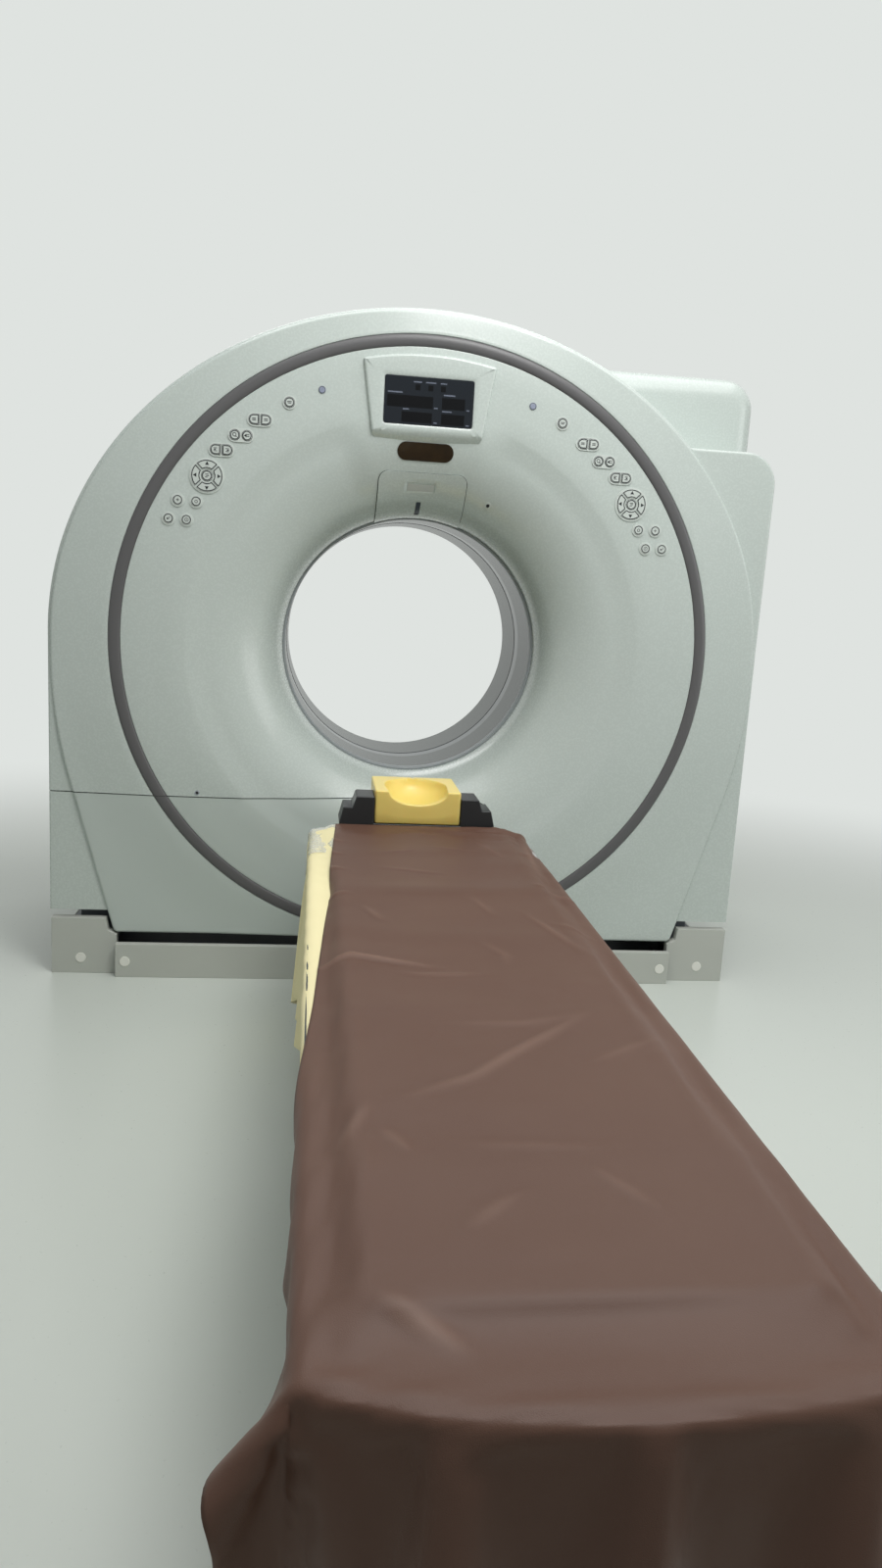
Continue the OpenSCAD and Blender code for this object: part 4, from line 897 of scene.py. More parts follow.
for hand, side in (("l", -1), ("r", 1)):
    for key, sign in signs.items():
        x, z = places[key.split("_")[0]]
        way = {"a": -1, "b": 1}.get(key[-1], 0) if "_" in key else 0
        if key.startswith(("upper", "low")):
            outline, groove = stroke(d_path(way, 2.0), LINE), stroke(d_path(way, -0.5), 1.6)
        else:
            r = CENTRE_R if key == "centre" else KEY_R
            outline, groove = ring_line(0, 0, r - 2.2, LINE), ring_line(0, 0, r + 0.6, 1.6)
        name = f"key_{hand}_{key}"
        across = side * x + way * HALF_PITCH
        printed(f"print_{hand}_{key}", [outline] + sign, across, z, body_of_node[name])
        # Painted shade: a near-black ring in the gap round the key, fixed to the gantry.
        printed(f"key_gap_shade_{hand}_{key}", [groove], across, z, "gantry", KEY_GAP_SHADE_BACK)
    x, z = places["centre"]
    arrows = [stroke(segment_path(turn), LINE) for turn in quarters]
    arrows += [triangle(ARROW_AT * math.cos(t), ARROW_AT * math.sin(t), ARROW_SIZE, math.degrees(t) - 90)
               for t in map(math.radians, quarters)]
    printed(f"print_{hand}_arrows", arrows, side * x, z, "gantry")
    for index, ((x, z), sign) in enumerate(round_keys.items()):
        outline = ring_line(0, 0, KEY_R - 2.2, LINE)
        printed(f"print_{hand}_round_{index + 1}", [outline] + sign, side * x, z, "gantry")
    printed(f"print_{hand}_lamp", [ring_line(0, 0, 8.4, 1.6)], side * 289, 686, "gantry", 2.5)
print("printed keys")

# %% [markdown]
# ## Display, light slot and small fittings
# Behind the smoked display lie darker fields where the digits would light up, with a small
# printed bar over each where a caption sits. The light slot under it has a dark glass, and
# the dish has one small aperture and one small screw.

# %% Display housing
HOUSING_Z, HOUSING_FOOT, HOUSING_TOP, HOUSING_ARC, HOUSING_FRONT = 571.0, 150.0, 182.0, 798.0, -502.0
HOUSING_ROLL, OPENING_W, OPENING_H, OPENING_Z = 8.0, 122.0, 124.0, 675.0

top_x = np.linspace(HOUSING_TOP, -HOUSING_TOP, 60)
housing_path = np.vstack([[[-HOUSING_FOOT, HOUSING_Z], [HOUSING_FOOT, HOUSING_Z]],
                          np.stack([top_x, np.sqrt(HOUSING_ARC ** 2 - top_x ** 2)], -1)])
housing_path = evenly(housing_path, 400)
corner_share = np.clip((housing_path[:, 1:] - 640) / 60, 0, 1)
housing_path = eased(housing_path, 75) * (1 - corner_share) + eased(housing_path, 5) * corner_share
ray = housing_path - (0, OPENING_Z)
to_edge = np.min([OPENING_W, OPENING_H / 2] / np.abs(ray).clip(1e-6), 1, keepdims=True)
opening = eased(evenly((0, OPENING_Z) + ray * to_edge, 400), 10)


def housing_row(flat, depth):
    """Points of the housing's ring at depth, but behind its underside, which slants back at
    45 degrees from 22 mm over its foot."""
    slant = HOUSING_FRONT + np.clip(HOUSING_Z + 22 - flat[:, 1], 0, 22)
    return np.stack([flat[:, 0], np.maximum(depth, slant), ISO + flat[:, 1]], -1)


housing_side = outward(housing_path)
on_face = face_depth(np.linalg.norm(housing_path, axis=1))
housing_rows = [housing_row(housing_path, on_face + 3),
                housing_row(housing_path, HOUSING_FRONT + HOUSING_ROLL)]
for t in np.radians(np.linspace(15, 90, 7)):
    housing_rows.append(housing_row(housing_path - HOUSING_ROLL * (1 - math.cos(t)) * housing_side,
                                    HOUSING_FRONT + HOUSING_ROLL * (1 - math.sin(t))))
flat_edge = housing_path - HOUSING_ROLL * housing_side
opening_side = outward(opening)
for s in (0.35, 0.7, 1.0):
    housing_rows.append(housing_row(flat_edge * (1 - s) + (opening + 3.5 * opening_side) * s, HOUSING_FRONT))
housing_rows += [housing_row(opening + 0.4 * opening_side, HOUSING_FRONT + 1.6),
                 housing_row(opening, HOUSING_FRONT + 3), housing_row(opening, HOUSING_FRONT + 6)]
housing = loft("display_housing", np.array(housing_rows), cover_lacquer, closed=True)
stands_for(housing, "display_bezel")
print("display housing", len(housing.data.vertices))

# %% Display fields
GLASS_Y = -502.62
GLASS_X, GLASS_LOW, GLASS_TOP = 121.7, 613.3, 736.7


def glass_field(u0, u1, v0, v1):
    """A rectangle on the display glass from fractions of its width, and of its height from the top."""
    x0, x1 = (GLASS_X * (2 * u - 1) for u in (u0, u1))
    z1, z0 = (GLASS_TOP - v * (GLASS_TOP - GLASS_LOW) for v in (v0, v1))
    return [(x0, z0), (x1, z0), (x1, z1), (x0, z1)]


dark_fields = [(0.03, 0.545, 0.40, 0.65), (0.645, 0.905, 0.40, 0.64), (0.2, 0.54, 0.74, 0.96),
               (0.645, 0.905, 0.74, 0.97), (0.34, 0.395, 0.16, 0.28), (0.485, 0.54, 0.16, 0.28),
               (0.625, 0.68, 0.16, 0.28)]
captions = [(0.035, 0.2, 0.33, 0.36), (0.66, 0.79, 0.33, 0.36), (0.21, 0.28, 0.675, 0.70),
            (0.65, 0.76, 0.675, 0.70), (0.32, 0.41, 0.095, 0.12), (0.455, 0.57, 0.095, 0.12),
            (0.62, 0.69, 0.095, 0.12), (0.56, 0.60, 0.62, 0.645), (0.925, 0.96, 0.62, 0.645),
            (0.56, 0.60, 0.93, 0.955), (0.925, 0.96, 0.94, 0.965)]
for name, boxes, depth, material in (("display_fields", dark_fields, 0.15, field_black),
                                     ("display_captions", captions, 0.2, caption_print)):
    pieces = [prism(f"{name}_{k}", glass_field(*box), GLASS_Y - depth, GLASS_Y + 0.3, material)
              for k, box in enumerate(boxes)]
    added(joined(name, pieces, material))


def off_face(flat, rise):
    """Points over (x, z) on the face, raised along its normal (f'(r) x / r, -1, f'(r) z / r)."""
    r = np.linalg.norm(flat, axis=1)
    slope = face_depth(r + 0.5) - face_depth(r - 0.5)
    normal = np.stack([slope * flat[:, 0] / r, -np.ones(len(r)), slope * flat[:, 1] / r], -1)
    normal /= np.linalg.norm(normal, axis=1, keepdims=True)
    return np.stack([flat[:, 0], face_depth(r) + crease_dip(*flat.T), ISO + flat[:, 1]], -1) + rise * normal


def on_dish(name, x, z, outline, rise, material, sink=2.0):
    """A small flat fitting that follows the dish: its outline about (x, z) is laid on the face
    and raised off it."""
    outline = np.asarray(outline, float)
    rows = [off_face(outline + (x, z), -sink)]
    rows += [off_face(outline * share + (x, z), rise) for share in (1, 0.75, 0.5, 0.25, 0.02)]
    return added(loft(name, rows, material))


def seam_shade_line(name, path, width, rise, material):
    """A thin near-black line along an open path on the dish: painted shade of the gap where two mouldings
    meet.
    """
    side = outward(path, closed=False) * width / 2
    rows = np.stack([off_face(path + side, -1), off_face(path + side, rise), off_face(path - side, rise),
                     off_face(path - side, -1)], 1)
    return added(loft(name, rows, material))


def rounded(w, h, r):
    """A rectangle about the origin with round corners, anticlockwise."""
    corners = ((w / 2 - r, -h / 2 + r, -90), (w / 2 - r, h / 2 - r, 0), (r - w / 2, h / 2 - r, 90),
               (r - w / 2, r - h / 2, 180))
    return evenly(np.vstack([arc((x, z), r, start, start + 90, 6) for x, z, start in corners]), 80)


circle = arc((0, 0), 1, 0, 345, 24)
on_dish("light_slot_glass", -4, 402, rounded(13, 31, 2), 1.4, band_film)
on_dish("bare_label_plate", -4, 455, rounded(76, 18, 3), 2.8, pedestal_powder)
panel_edge = np.vstack([[[125.2, 369]], arc((99, 466), 26.2, 0, 90, 10),
                        arc((-99, 466), 26.2, 90, 180, 10), [[-125.2, 369]]])
# Painted shade: a near-black line round the light panel, where it meets the dish.
seam_shade_line("light_panel_seam_shade", evenly(panel_edge, 160, closed=False), 1.8, 0.5, gap_shade_and_dark_glass)
on_dish("aperture_ring", 191.4, 417.8, circle * 9, 1.0, key_thermoplastic)
on_dish("aperture_glass", 191.4, 417.8, circle * 4.5, 1.5, gap_shade_and_dark_glass)
on_dish("cover_screw", -603.1, -432.2, circle * 7.5, 1.0, bearing_ground)
# Painted shade: a near-black disc on the screw's head for its recess.
on_dish("cover_screw_recess_shade", -603.1, -432.2, circle * 4.4, 1.3, gap_shade_and_dark_glass)
print("fittings done")

# %% [markdown]
# ## The table's pad and the head rest
# A thin pad lies on the carbon cradle. Its cover is vinyl, so its edges are round and its top
# is slightly crowned. The head rest is a block of coated foam with a deep bowl for the head
# and a shallower notch for the neck. Both are rings of points, one inside the other, that rise
# with the shape.

# %% Rings in plan
HEAD_Y, FOOT_Y, CRADLE_W, FOOT_BOW = -792.0, -2826.0, 280.0, 50.0
PAD_W, PAD_END, PAD_LOW, PAD_TOP = 222.0, -2690.0, 520.3, 536.8


def plan(w, foot_y, bow, head_y=HEAD_Y):
    """Closed outline in plan, anticlockwise from the right head corner: head edge, left side,
    foot edge y = foot + bow (x / w)^2, right side, with softly rounded corners."""
    x = np.linspace(w, -w, 60, endpoint=False)
    foot_x = -x
    side = np.linspace(head_y, foot_y + bow, 170, endpoint=False)
    back = np.linspace(foot_y + bow, head_y, 170, endpoint=False)
    return eased(np.vstack([
        np.stack([x, np.full(60, head_y)], -1), np.stack([np.full(170, -w), side], -1),
        np.stack([foot_x, foot_y + bow * (foot_x / w) ** 2], -1), np.stack([np.full(170, w), back], -1)]), 2)


def ring(outline, z, inset=0.0):
    """A row of points at height z, moved inwards by inset."""
    flat = outline - inset * outward(outline)
    return np.stack([flat[:, 0], flat[:, 1], np.broadcast_to(z, len(flat))], -1)


def towards_middle(outline, z, share):
    """A row of points between the outline and the long middle line of the table."""
    y = outline[:, 1]
    middle = np.stack([0 * y, np.clip(y, y.min() + 200, y.max() - 200)], -1)
    flat = outline * (1 - share) + middle * share
    return np.stack([flat[:, 0], flat[:, 1], np.broadcast_to(z, len(flat))], -1)


pad_plan = plan(PAD_W, PAD_END, 0)
pad_rings = [towards_middle(pad_plan, PAD_LOW + 0.2, 0.9), ring(pad_plan, PAD_LOW + 0.2, 4)]
pad_rings += [ring(pad_plan, PAD_LOW + 6.5 - 6 * math.cos(t), 6.5 - 6.2 * math.sin(t))
              for t in np.radians(np.linspace(30, 150, 8))]
pad_rim = pad_plan - 8 * outward(pad_plan)
pad_rings += [towards_middle(pad_rim, PAD_TOP - 2.2 + 2.0 * math.sin(s * math.pi / 2), s)
              for s in (0, 0.2, 0.5, 0.9)]
pad = stands_for(loft("table_pad", pad_rings, pad_vinyl), "mattress")

# %% Head rest with its bowl
REST_W, REST_L, REST_H, REST_Z = 114.0, 216.0, 88.0, 543.0
REST_FRONT = HEAD_Y + 2
BOWL_W, BOWL_DEPTH, NOTCH_DEPTH, BOWL_Y = 84.0, 60.0, 36.0, HEAD_Y + 100


def bowl_level(x, y):
    """Height of the bowl's surface: an ellipse across, top - D sqrt(1 - (x / W)^2). D grows
    smoothly from the notch at the front to the bowl, and ends behind it in a round."""
    forward = np.clip((y - REST_FRONT) / (BOWL_Y - REST_FRONT), 0, 1)
    depth = NOTCH_DEPTH + (BOWL_DEPTH - NOTCH_DEPTH) * np.sin(forward * np.pi / 2) ** 2
    behind = np.clip((y - BOWL_Y) / 92, 0, None)
    width = (BOWL_W - 6 * (1 - forward)) * np.sqrt(np.clip(1 - behind ** 2, 0.0004, 1))
    depth = depth * np.sqrt(np.clip(1 - behind ** 2, 0.0004, 1))
    across = (x / width) ** 2
    outside = -40 * (np.sqrt(np.maximum(across, 1)) - 1) * width / 80
    dip = np.where(across < 1, depth * np.sqrt(np.clip(1 - across, 0, 1)), outside)
    return REST_Z + REST_H - dip


def soft_lower(a, b, k):
    """The lower of two heights, blended over k: min(a, b) - h^2 k / 4, h = max(k - |a - b|, 0) / k."""
    h = np.clip(k - np.abs(a - b), 0, None) / k
    return np.minimum(a, b) - h * h * k / 4


REST_BACK = REST_FRONT + REST_L
rest_plan = np.array([(REST_W, REST_BACK), (-REST_W, REST_BACK),
                      (-REST_W, REST_FRONT), (REST_W, REST_FRONT)], float)
rest_plan = eased(evenly(rest_plan, 420), 14)
REST_ROLL = 4.5
rest_rows = [ring(rest_plan, REST_Z, 8), ring(rest_plan, REST_Z + 1, 2), ring(rest_plan, REST_Z + 4, 0)]
rim = rest_plan - REST_ROLL * outward(rest_plan)
rim_top = soft_lower(np.full(len(rim), REST_Z + REST_H), bowl_level(rim[:, 0], rim[:, 1]), 5.0)
for share in (0.35, 0.7):
    rest_rows.append(ring(rest_plan, REST_Z + 4 + share * (rim_top - REST_ROLL - REST_Z - 4)))
for t in np.radians(np.linspace(0, 80, 7)):
    rest_rows.append(ring(rest_plan, rim_top - REST_ROLL + REST_ROLL * math.sin(t),
                          REST_ROLL * (1 - math.cos(t))))
rest_middle = np.array([0.0, BOWL_Y])
for share in np.linspace(0, 0.985, 64):
    flat = rim * (1 - share) + rest_middle * share
    height = soft_lower(np.full(len(flat), REST_Z + REST_H), bowl_level(flat[:, 0], flat[:, 1]), 5.0)
    rest_rows.append(np.stack([flat[:, 0], flat[:, 1], height], -1))
head_block = stands_for(loft("head_rest_block", rest_rows, rest_foam, sharp=60), "head_rest")
print("pad and head rest", len(pad.data.vertices), len(head_block.data.vertices))

# %% [markdown]
# ## Draped covers
# The sheet of brown leatherette lies askew over the pad and hangs over the right side and the
# foot end. Under it a cream cotton sheet hangs at the left. Both are cut flat and then laid
# on the table by Blender's cloth simulation, because the way a real sheet bridges from the pad
# to the edge, and folds at a corner, is hard to draw by hand. The table they fall on is one
# closed shape with the cradle's and the pad's outlines, made only for this.

# %% Shape that the sheets are laid on
cradle_plan = plan(CRADLE_W + 1, FOOT_Y - 1, FOOT_BOW)
pad_lie = plan(PAD_W + 1, PAD_END - 1, 0)
TABLE_LIE, EDGE_R = 521.0, 11
rings = [towards_middle(cradle_plan, 440, 0.9), ring(cradle_plan, 440), ring(cradle_plan, 475),
         ring(cradle_plan, TABLE_LIE - EDGE_R)]
rings += [ring(cradle_plan, TABLE_LIE - EDGE_R + EDGE_R * math.sin(t), EDGE_R - EDGE_R * math.cos(t))
          for t in np.radians(np.linspace(15, 90, 6))]
inner = cradle_plan - EDGE_R * outward(cradle_plan)
outer_pad = pad_lie + 5 * outward(pad_lie)
rings += [np.c_[inner * (1 - s) + outer_pad * s, np.full(len(inner), TABLE_LIE)] for s in (0.35, 0.7, 1.0)]
rings += [ring(pad_lie, TABLE_LIE + 4), ring(pad_lie, PAD_TOP - 5)]
rings += [ring(pad_lie, PAD_TOP - 5 + 5.5 * math.sin(t), 6 - 6 * math.cos(t))
          for t in np.radians(np.linspace(25, 90, 5))]
rings += [towards_middle(pad_lie - 6 * outward(pad_lie), PAD_TOP + 0.5, s) for s in (0.2, 0.45, 0.7, 0.9)]
table_form = loft("table_form", rings, pad_vinyl)
table_form.modifiers.new("collision", "COLLISION")
table_form.collision.thickness_outer = 0.001
table_form.collision.cloth_friction = 12


def folded_down(points, gap):
    """A quick stand-in for a laid sheet: what lies past the cradle's side or end hangs straight
    down from it."""
    x, y, z = points[..., 0], points[..., 1], points[..., 2]
    side = np.clip(np.abs(x) - CRADLE_W - gap, 0, None)
    end = np.clip(FOOT_Y + 20 - gap - y, 0, None)
    return np.stack([np.sign(x) * (np.abs(x) - side), y + end, z - np.maximum(side, end)], -1)


def lay(name, flat, height, frames, stretch, bend, mass, hold, gap, ripple=0.0):
    """Drops a flat grid of points on whatever collides, and returns its points at rest.
    flat is rows x columns x (x, y). Points where hold is true stay where they are, and gap is
    how far the sheet keeps off the shape below. A long drop starts folded down, with its share
    ripple of the drop as waves: x moves out by ripple drop (1 + sin(y / 37))."""
    rows, cols = flat.shape[:2]
    points = np.concatenate([flat, np.full((rows, cols, 1), height)], -1)
    folded = folded_down(points, gap)
    drop = height - folded[..., 2]
    folded[..., 0] += np.sign(flat[..., 0]) * ripple * drop * (1 + np.sin(flat[..., 1] / 37))
    points = folded if ripple else points
    mesh = bpy.data.meshes.new(name)
    mesh.from_pydata((points.reshape(-1, 3) / 1000).tolist(), [], grid_faces(rows, cols))
    cloth_object = bpy.data.objects.new(name, mesh)
    bpy.context.scene.collection.objects.link(cloth_object)
    cloth = cloth_object.modifiers.new("cloth", "CLOTH")
    group = cloth_object.vertex_groups.new(name="held")
    group.add(np.flatnonzero(hold.ravel()).tolist(), 1.0, "REPLACE")
    cloth.settings.vertex_group_mass = "held"
    settings = cloth.settings
    settings.quality, settings.mass, settings.air_damping = 7, mass, 1.5
    settings.tension_stiffness = settings.compression_stiffness = settings.shear_stiffness = stretch
    settings.bending_stiffness, settings.bending_damping = bend, 1.0
    settings.tension_damping = settings.compression_damping = settings.shear_damping = 8
    cloth.collision_settings.distance_min = max(0.0015, gap / 1000 - 0.0013)
    cloth.collision_settings.collision_quality = 3
    cloth.collision_settings.use_self_collision = False
    cloth.point_cache.frame_start, cloth.point_cache.frame_end = 1, frames + 1
    scene = bpy.context.scene
    for frame_number in range(1, frames + 1):
        scene.frame_set(frame_number)
    graph = bpy.context.evaluated_depsgraph_get()
    settled = cloth_object.evaluated_get(graph).to_mesh()
    result = np.empty(len(settled.vertices) * 3)
    settled.vertices.foreach_get("co", result)
    bpy.data.objects.remove(cloth_object)
    scene.frame_set(1)
    return result.reshape(rows, cols, 3) * 1000


def flat_sheet(left, right, head, length, step):
    """Points of a flat cut: columns from left(b) to right(b), rows from the head edge towards
    the foot, about step apart."""
    b = np.linspace(0, length, int(length / step) + 1)
    width = np.max(right(b) - left(b))
    s = np.linspace(0, 1, int(width / step) + 1)
    x = left(b)[:, None] * (1 - s) + right(b)[:, None] * s
    return np.stack([x, np.broadcast_to(head - b[:, None], x.shape)], -1)


# %% Cuts of the three covers
SHEET_HEAD, SHEET_L, SHEET_T = HEAD_Y - 8, 2171.0, 1.6
CREAM_L, CREAM_T, FILM_L, FILM_T = 1840.0, 0.9, 260.0, 0.4
BROWN_SLANT = 0.0766


def cream_left(b):
    """Left border of the cream sheet: it hangs nearly to the floor at the head end, and less
    and less towards the foot."""
    return -285 - np.interp(b, [0, 150, 520, 1130, CREAM_L], [480, 440, 250, 105, 80])


brown_flat = flat_sheet(lambda b: -215 - BROWN_SLANT * b - 0.00008 * np.clip(b - 1100, 0, None) ** 2,
                        lambda b: 560 - 0.05 * b, SHEET_HEAD, SHEET_L, 20)
cream_flat = flat_sheet(cream_left, lambda b: 262 + 0 * b, HEAD_Y - 1, CREAM_L, 24)
film_flat = flat_sheet(lambda b: -372 + 0.1 * b, lambda b: 345 - 0.1 * b, HEAD_Y - 3, FILM_L, 13)
print("points", [flat.shape[:2] for flat in (brown_flat, cream_flat, film_flat)])

# %% The covers laid down
started = time.time()
covers = {}
for name, flat, gap, frames, bend, mass, ripple in (
        ("cream", cream_flat, 1.2, 26, 0.8, 0.25, 0.06), ("film", film_flat, 2.4, 22, 2.5, 0.12, 0.1),
        ("brown", brown_flat, 3.8, 45, 6.0, 0.5, 0.0)):
    held_row = np.zeros(flat.shape[:2], bool)
    held_row[0] = np.abs(flat[0, :, 0]) < 230
    covers[name] = lay(name + "_fall", flat, PAD_TOP + gap, frames, 20, bend, mass, held_row, gap, ripple)
    lowest, spent = round(covers[name][..., 2].min()), round(time.time() - started)
    print(name, "laid, lowest point", lowest, "after", spent, "s")


def pressed_flat(points, gap):
    """Where the brown sheet covers it, a thin sheet lies no higher than gap over the pad and
    the cradle. From the brown sheet's edge inwards that takes hold over 20 mm."""
    x, y, z = points[..., 0], points[..., 1], points[..., 2]
    held_down = np.clip((x + 212 + BROWN_SLANT * (SHEET_HEAD - y)) / 20, 0, 1) * (y < SHEET_HEAD - 6)
    top = PAD_TOP + gap - np.clip((np.abs(x) - PAD_W + 2) / 12, 0, 1) * (PAD_TOP - TABLE_LIE)
    too_high = np.clip(z - top, 0, None) * (np.abs(x) < CRADLE_W + 2)
    return np.stack([x, y, z - held_down * too_high], -1)


covers["cream"] = pressed_flat(covers["cream"], 1.0)
covers["film"] = pressed_flat(covers["film"], 2.0)

# %% [markdown]
# The laid sheets are still too smooth. Leatherette that was folded for storage keeps shallow
# creases, so a few are added as low ridges along lines on the table: the height falls off
# with the square of the distance from the line, and to nothing at its ends. The thin film is
# crumpled where it runs past the pad's sides, by waves that meet at many angles.

# %% Creases
creases = [
    (3.2, 9, [(-305, -1855), (-202, -1799), (-49, -1863)]),
    (1.6, 8, [(-140, -1876), (-96, -1888), (22, -1883)]), (1.6, 9, [(136, -1516), (219, -1795)]),
    (1.4, 9, [(50, -1421), (85, -1582)]), (1.8, 9, [(196, -1321), (304, -1430)]),
    (1.8, 11, [(266, -830), (235, -1302)]), (1.4, 9, [(120, -915), (190, -1148)]),
    (2.2, 11, [(-189, -2331), (-57, -2254), (-7, -2198), (165, -2024)]),
    (1.2, 12, [(-104, -2085), (42, -2082), (156, -2039)]), (1.8, 9, [(-262, -938), (-193, -1003)]),
    (1.8, 9, [(-262, -1086), (-196, -1117)]), (1.8, 9, [(-262, -1203), (-195, -1254)]),
    (1.8, 9, [(-275, -1446), (-190, -1427)]), (1.2, 10, [(-137, -1215), (35, -1272)]),
    (1.6, 9, [(-174, -1512), (-136, -1620)]), (1.2, 10, [(24, -1695), (64, -1792), (51, -1868)]),
    (1.2, 11, [(93, -2222), (243, -2120)]), (1.6, 11, [(-245, -2440), (-193, -2316)]),
    (1.4, 10, [(-192, -2382), (-153, -2450)]), (1.0, 12, [(-138, -2425), (113, -2436)]),
    (1.4, 12, [(-124, -2599), (-37, -2514)]), (1.2, 12, [(30, -2459), (106, -2576)]),
    (2.4, 14, [(-214, -2680), (-122, -2753)]), (1.0, 8, [(-10, -1010), (150, -1070)]),
    (1.0, 8, [(-120, -1090), (-20, -1050)]), (1.2, 9, [(180, -1600), (262, -1660)]),
]


def crease_height(x, y):
    """Sum over the creases of 1.9 height e^(-(d / 0.85 width)^2) sin(pi s), d the distance
    from the line and s the share of the way along it."""
    total = np.zeros_like(x)
    for height, width, line in creases:
        line = np.array(line, float)
        lengths = np.r_[0, np.cumsum(np.linalg.norm(np.diff(line, axis=0), axis=1))]
        best, share = np.full(x.shape, 1e9), np.zeros_like(x)
        for a, b, start in zip(line, line[1:], lengths):
            span = np.linalg.norm(b - a)
            s = np.clip(((x - a[0]) * (b - a)[0] + (y - a[1]) * (b - a)[1]) / span ** 2, 0, 1)
            d = np.hypot(x - a[0] - s * (b - a)[0], y - a[1] - s * (b - a)[1])
            share = np.where(d < best, (start + s * span) / lengths[-1], share)
            best = np.minimum(best, d)
        fade = np.sin(np.pi * np.clip(share, 0.02, 0.98))
        total += 1.9 * height * np.exp(-(best / width / 0.85) ** 2) * fade
    return total


def crumple(x, y, z):
    """Sum of five sharp-topped waves, 1 - |sin(k . p + phase)|, at many angles, in 0 to 1."""
    angles = np.radians([12, 55, 98, 131, 163])
    waves = [1 - np.abs(np.sin((x * np.cos(t) + (y + z) * np.sin(t)) / (9.0 + 3.7 * k) + 1.7 * k))
             for k, t in enumerate(angles)]
    return sum(waves) / 5


# %% [markdown]
# The laid sheets are redrawn on smooth curves through their points, kept clear of the
# cradle's rounded edges, and given their relief and thickness.


def regrid(points, rows, cols):
    """The same sheet with rows x cols points, on curves through its own points a, b, c, d:
    b + t (c - a + t (2a - 5b + 4c - d + t (3 (b - c) + d - a))) / 2."""
    for axis, count in ((0, rows), (1, cols)):
        last = points.shape[axis] - 1
        at = np.linspace(0, last, count)
        low = np.minimum(at.astype(int), last - 1)
        t = np.expand_dims(at - low, (1, 2) if axis == 0 else (0, 2))
        a, b, c, d = (np.take(points, np.clip(low + k, 0, last), axis) for k in (-1, 0, 1, 2))
        points = b + t * (c - a + t * (2 * a - 5 * b + 4 * c - d + t * (3 * (b - c) + d - a))) / 2
    return points


def clear_of_cradle(x, z, gap):
    """Pushes points out of the cross-section of the form, with edges of radius EDGE_R, grown by
    gap: p = corner + (p - corner) max(1, (EDGE_R + gap) / |p - corner|), at most 1.6."""
    side, rise = np.abs(x) - CRADLE_W + EDGE_R, z - TABLE_LIE + EDGE_R
    far = np.hypot(np.maximum(side, 0), np.maximum(rise, 0)).clip(1e-6)
    grow = np.clip((EDGE_R + gap) / far, 1, 1.6)
    side, rise = np.where(side > 0, side * grow, side), np.where(rise > 0, rise * grow, rise)
    return np.sign(x) * (side + CRADLE_W - EDGE_R), rise + TABLE_LIE - EDGE_R


def sheet_piece(name, points, thickness, material, node, relief, gap, levels=1):
    """A mesh from the laid points, smoothed, with its relief added and its thickness."""
    rows, cols = points.shape[:2]
    piece = make_piece(name, points, grid_faces(rows, cols), material, sharp=180, outwards=False)
    smooth = piece.modifiers.new("smooth", "SUBSURF")
    smooth.levels = smooth.render_levels = levels
    applied(piece)
    place = np.empty(len(piece.data.vertices) * 3)
    piece.data.vertices.foreach_get("co", place)
    place = place.reshape(-1, 3) * 1000
    place[:, 0], place[:, 2] = clear_of_cradle(place[:, 0], place[:, 2], gap)
    raised = relief(*place.T)
    place += raised[:, None] * (0, 0, 1)
    piece.data.vertices.foreach_set("co", (place / 1000).ravel())
    # Share of painted highlight on the fold tops, where the relief stands up.
    ridge_share = np.clip(raised / 8 - 0.1, 0, 1)
    piece.data.attributes.new("ridge", "FLOAT", "POINT").data.foreach_set("value", ridge_share)
    thick = piece.modifiers.new("thickness", "SOLIDIFY")
    thick.thickness, thick.offset = thickness / 1000, 0
    applied(piece)
    stands_for(piece, node)
    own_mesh(piece)
    return piece


sheet_piece("brown_leatherette_sheet", regrid(covers["brown"], 330, 130), SHEET_T, leatherette,
            "brown_sheet",
            lambda x, y, z: crease_height(x, y) * np.clip((z - 505) / 25, 0, 1), 2.6, levels=0)
sheet_piece("cream_cotton_sheet", covers["cream"], CREAM_T, cream_cotton, "under_sheet",
            lambda x, y, z: 0.0 * x, 1.0)
sheet_piece("clear_film_sheet", covers["film"], FILM_T, thin_film, "clear_film",
            lambda x, y, z: (2.0 + 6.0 * crumple(x, y, z)) * np.clip((np.abs(x + 6) - 222) / 20, 0, 1), 2.0)
bpy.data.objects.remove(table_form)

# %% [markdown]
# ## The studio
# A plain pale floor runs into a pale surround. The surround is bright only to the camera and
# in reflections, by Light Path, so it doesn't light the object. The light comes from soft
# panels overhead, as from the square ceiling lamps of a scan room: the faces that look up are
# the brightest, and the sheet's drop at the foot end stays dark.

# %% Light path and surround
SURROUND = "DFE3E0"


def seen_directly(tree):
    """1 where a camera, glossy or transmission ray arrives, else 0."""
    path = add(tree, "ShaderNodeLightPath")
    either = add(tree, "ShaderNodeMath", {0: path.outputs["Is Camera Ray"], 1: path.outputs["Is Glossy Ray"]},
                 operation="MAXIMUM")
    return add(tree, "ShaderNodeMath", {0: either.outputs[0], 1: path.outputs["Is Transmission Ray"]},
               operation="MAXIMUM").outputs[0]


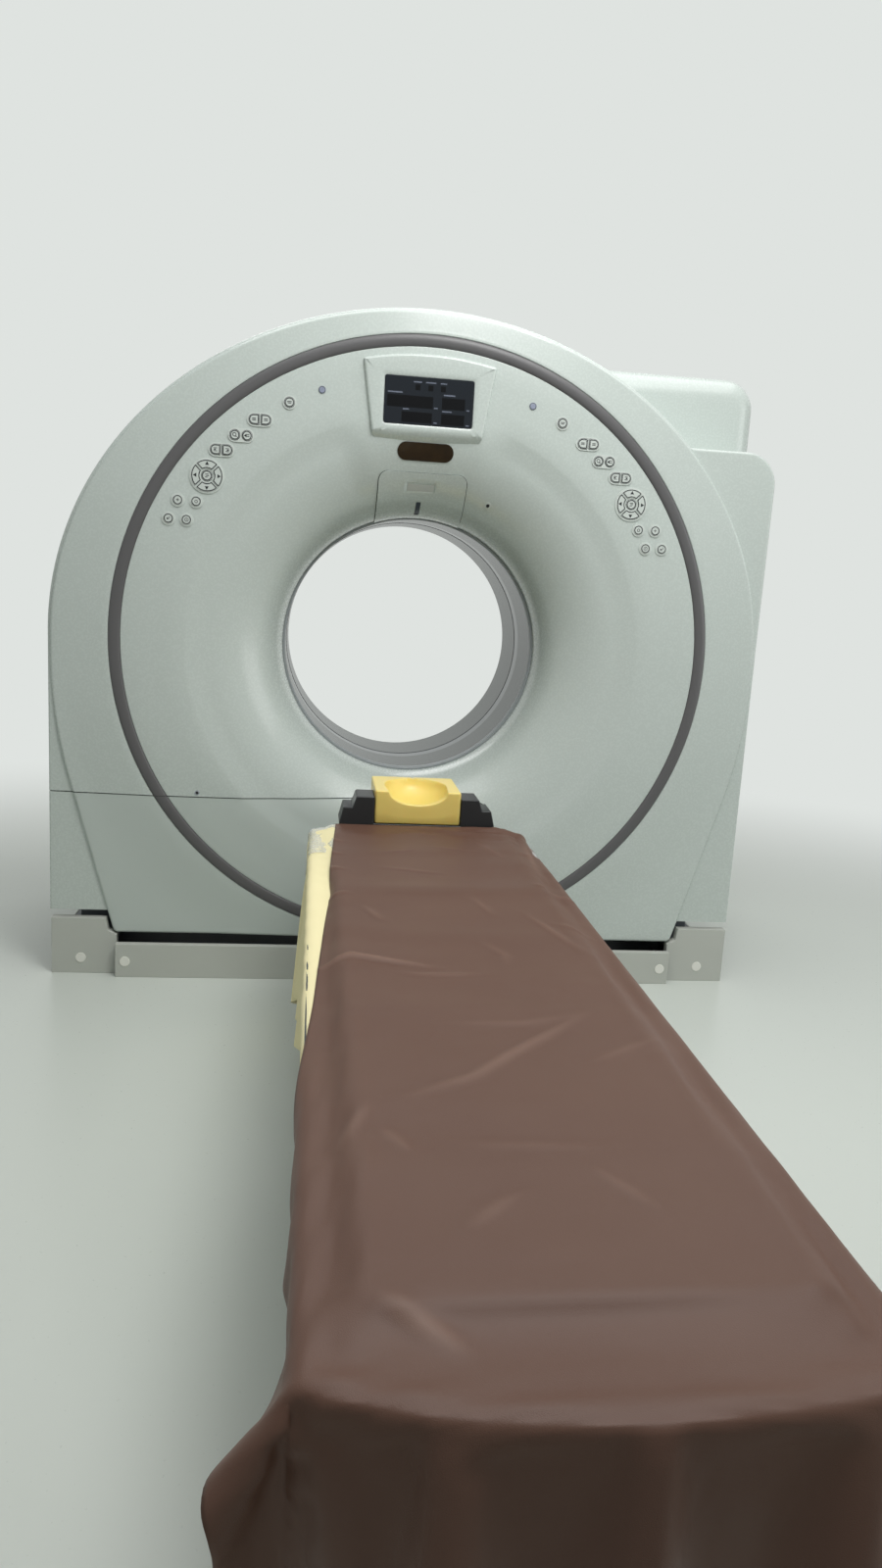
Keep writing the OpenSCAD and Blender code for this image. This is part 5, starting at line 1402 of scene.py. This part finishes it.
world = bpy.data.worlds.new("soft_room")
bpy.context.scene.world = world
world.use_nodes = True
tree = world.node_tree
room = tree.nodes["Background"]
room.inputs["Color"].default_value = linear("E2E4DF")
room.inputs["Strength"].default_value = 0.21
surround = add(tree, "ShaderNodeBackground", {"Color": linear(SURROUND), "Strength": 1.0})
mixed = add(tree, "ShaderNodeMixShader", {0: seen_directly(tree), 1: room.outputs[0], 2: surround.outputs[0]})
tree.links.new(mixed.outputs[0], tree.nodes["World Output"].inputs["Surface"])
bpy.context.scene.view_settings.view_transform = "Standard"

# %% Floor
floor_mesh = bpy.data.meshes.new("studio_floor")
floor_mesh.from_pydata([(-30, -30, 0), (30, -30, 0), (30, 30, 0), (-30, 30, 0)], [], [(0, 1, 2, 3)])
studio_floor = bpy.data.objects.new("studio_floor", floor_mesh)
bpy.context.scene.collection.objects.link(studio_floor)
floor_stone = finish("pale_polished_floor", "D3D9D2", 0.3, tint="CBD1CA", mottle_mm=900,
                     grain_mm=8, grain=0.01)
floor_mesh.materials.append(floor_stone)
tree = floor_stone.node_tree
place = add(tree, "ShaderNodeTexCoord").outputs["Object"]
from_table = add(tree, "ShaderNodeVectorMath", {0: place, 1: (0, 1.5, 0)}, operation="ADD").outputs[0]
reach = add(tree, "ShaderNodeVectorMath", {0: from_table}, operation="LENGTH").outputs["Value"]
far = add(tree, "ShaderNodeMapRange", {"Value": reach, "From Min": 2.3, "From Max": 5.0},
          interpolation_type="SMOOTHSTEP").outputs[0]
fades = add(tree, "ShaderNodeMath", {0: far, 1: seen_directly(tree)}, operation="MULTIPLY").outputs[0]
glow = add(tree, "ShaderNodeEmission", {"Color": linear(SURROUND), "Strength": 1.0})
blended = add(tree, "ShaderNodeMixShader",
              {0: fades, 1: tree.nodes["Principled BSDF"].outputs[0], 2: glow.outputs[0]})
tree.links.new(blended.outputs[0], tree.nodes["Material Output"].inputs["Surface"])
print("studio floor and surround", SURROUND)

# %% Lamps


def soft_lamp(name, place, target, size, watts):
    """A square area lamp at place, turned towards target."""
    data = bpy.data.lights.new(name, "AREA")
    data.shape, data.size, data.energy = "SQUARE", size, watts
    lamp = bpy.data.objects.new(name, data)
    bpy.context.scene.collection.objects.link(lamp)
    aim = np.array(target, float) - np.array(place, float)
    aim /= np.linalg.norm(aim)
    side = np.cross(aim, (0, 0, 1) if abs(aim[2]) < 0.99 else (0, 1, 0))
    side /= np.linalg.norm(side)
    top = np.cross(side, aim)
    lamp.matrix_world = Matrix([(side[i], top[i], -aim[i], place[i]) for i in range(3)] + [(0, 0, 0, 1)])
    return lamp


soft_lamp("ceiling_lights", (0.3, -1.3, 3.5), (0.3, -1.3, 0.0), 3.4, 62)
soft_lamp("ceiling_panel", (0.5, -2.2, 3.1), (0.1, -0.6, 0.7), 1.0, 34)
soft_lamp("ceiling_lights_behind", (-0.5, 2.4, 3.3), (-0.2, 1.6, 0.5), 2.2, 34)
soft_lamp("side_fill", (3.8, -2.2, 1.7), (0.2, -0.5, 0.8), 2.0, 24)
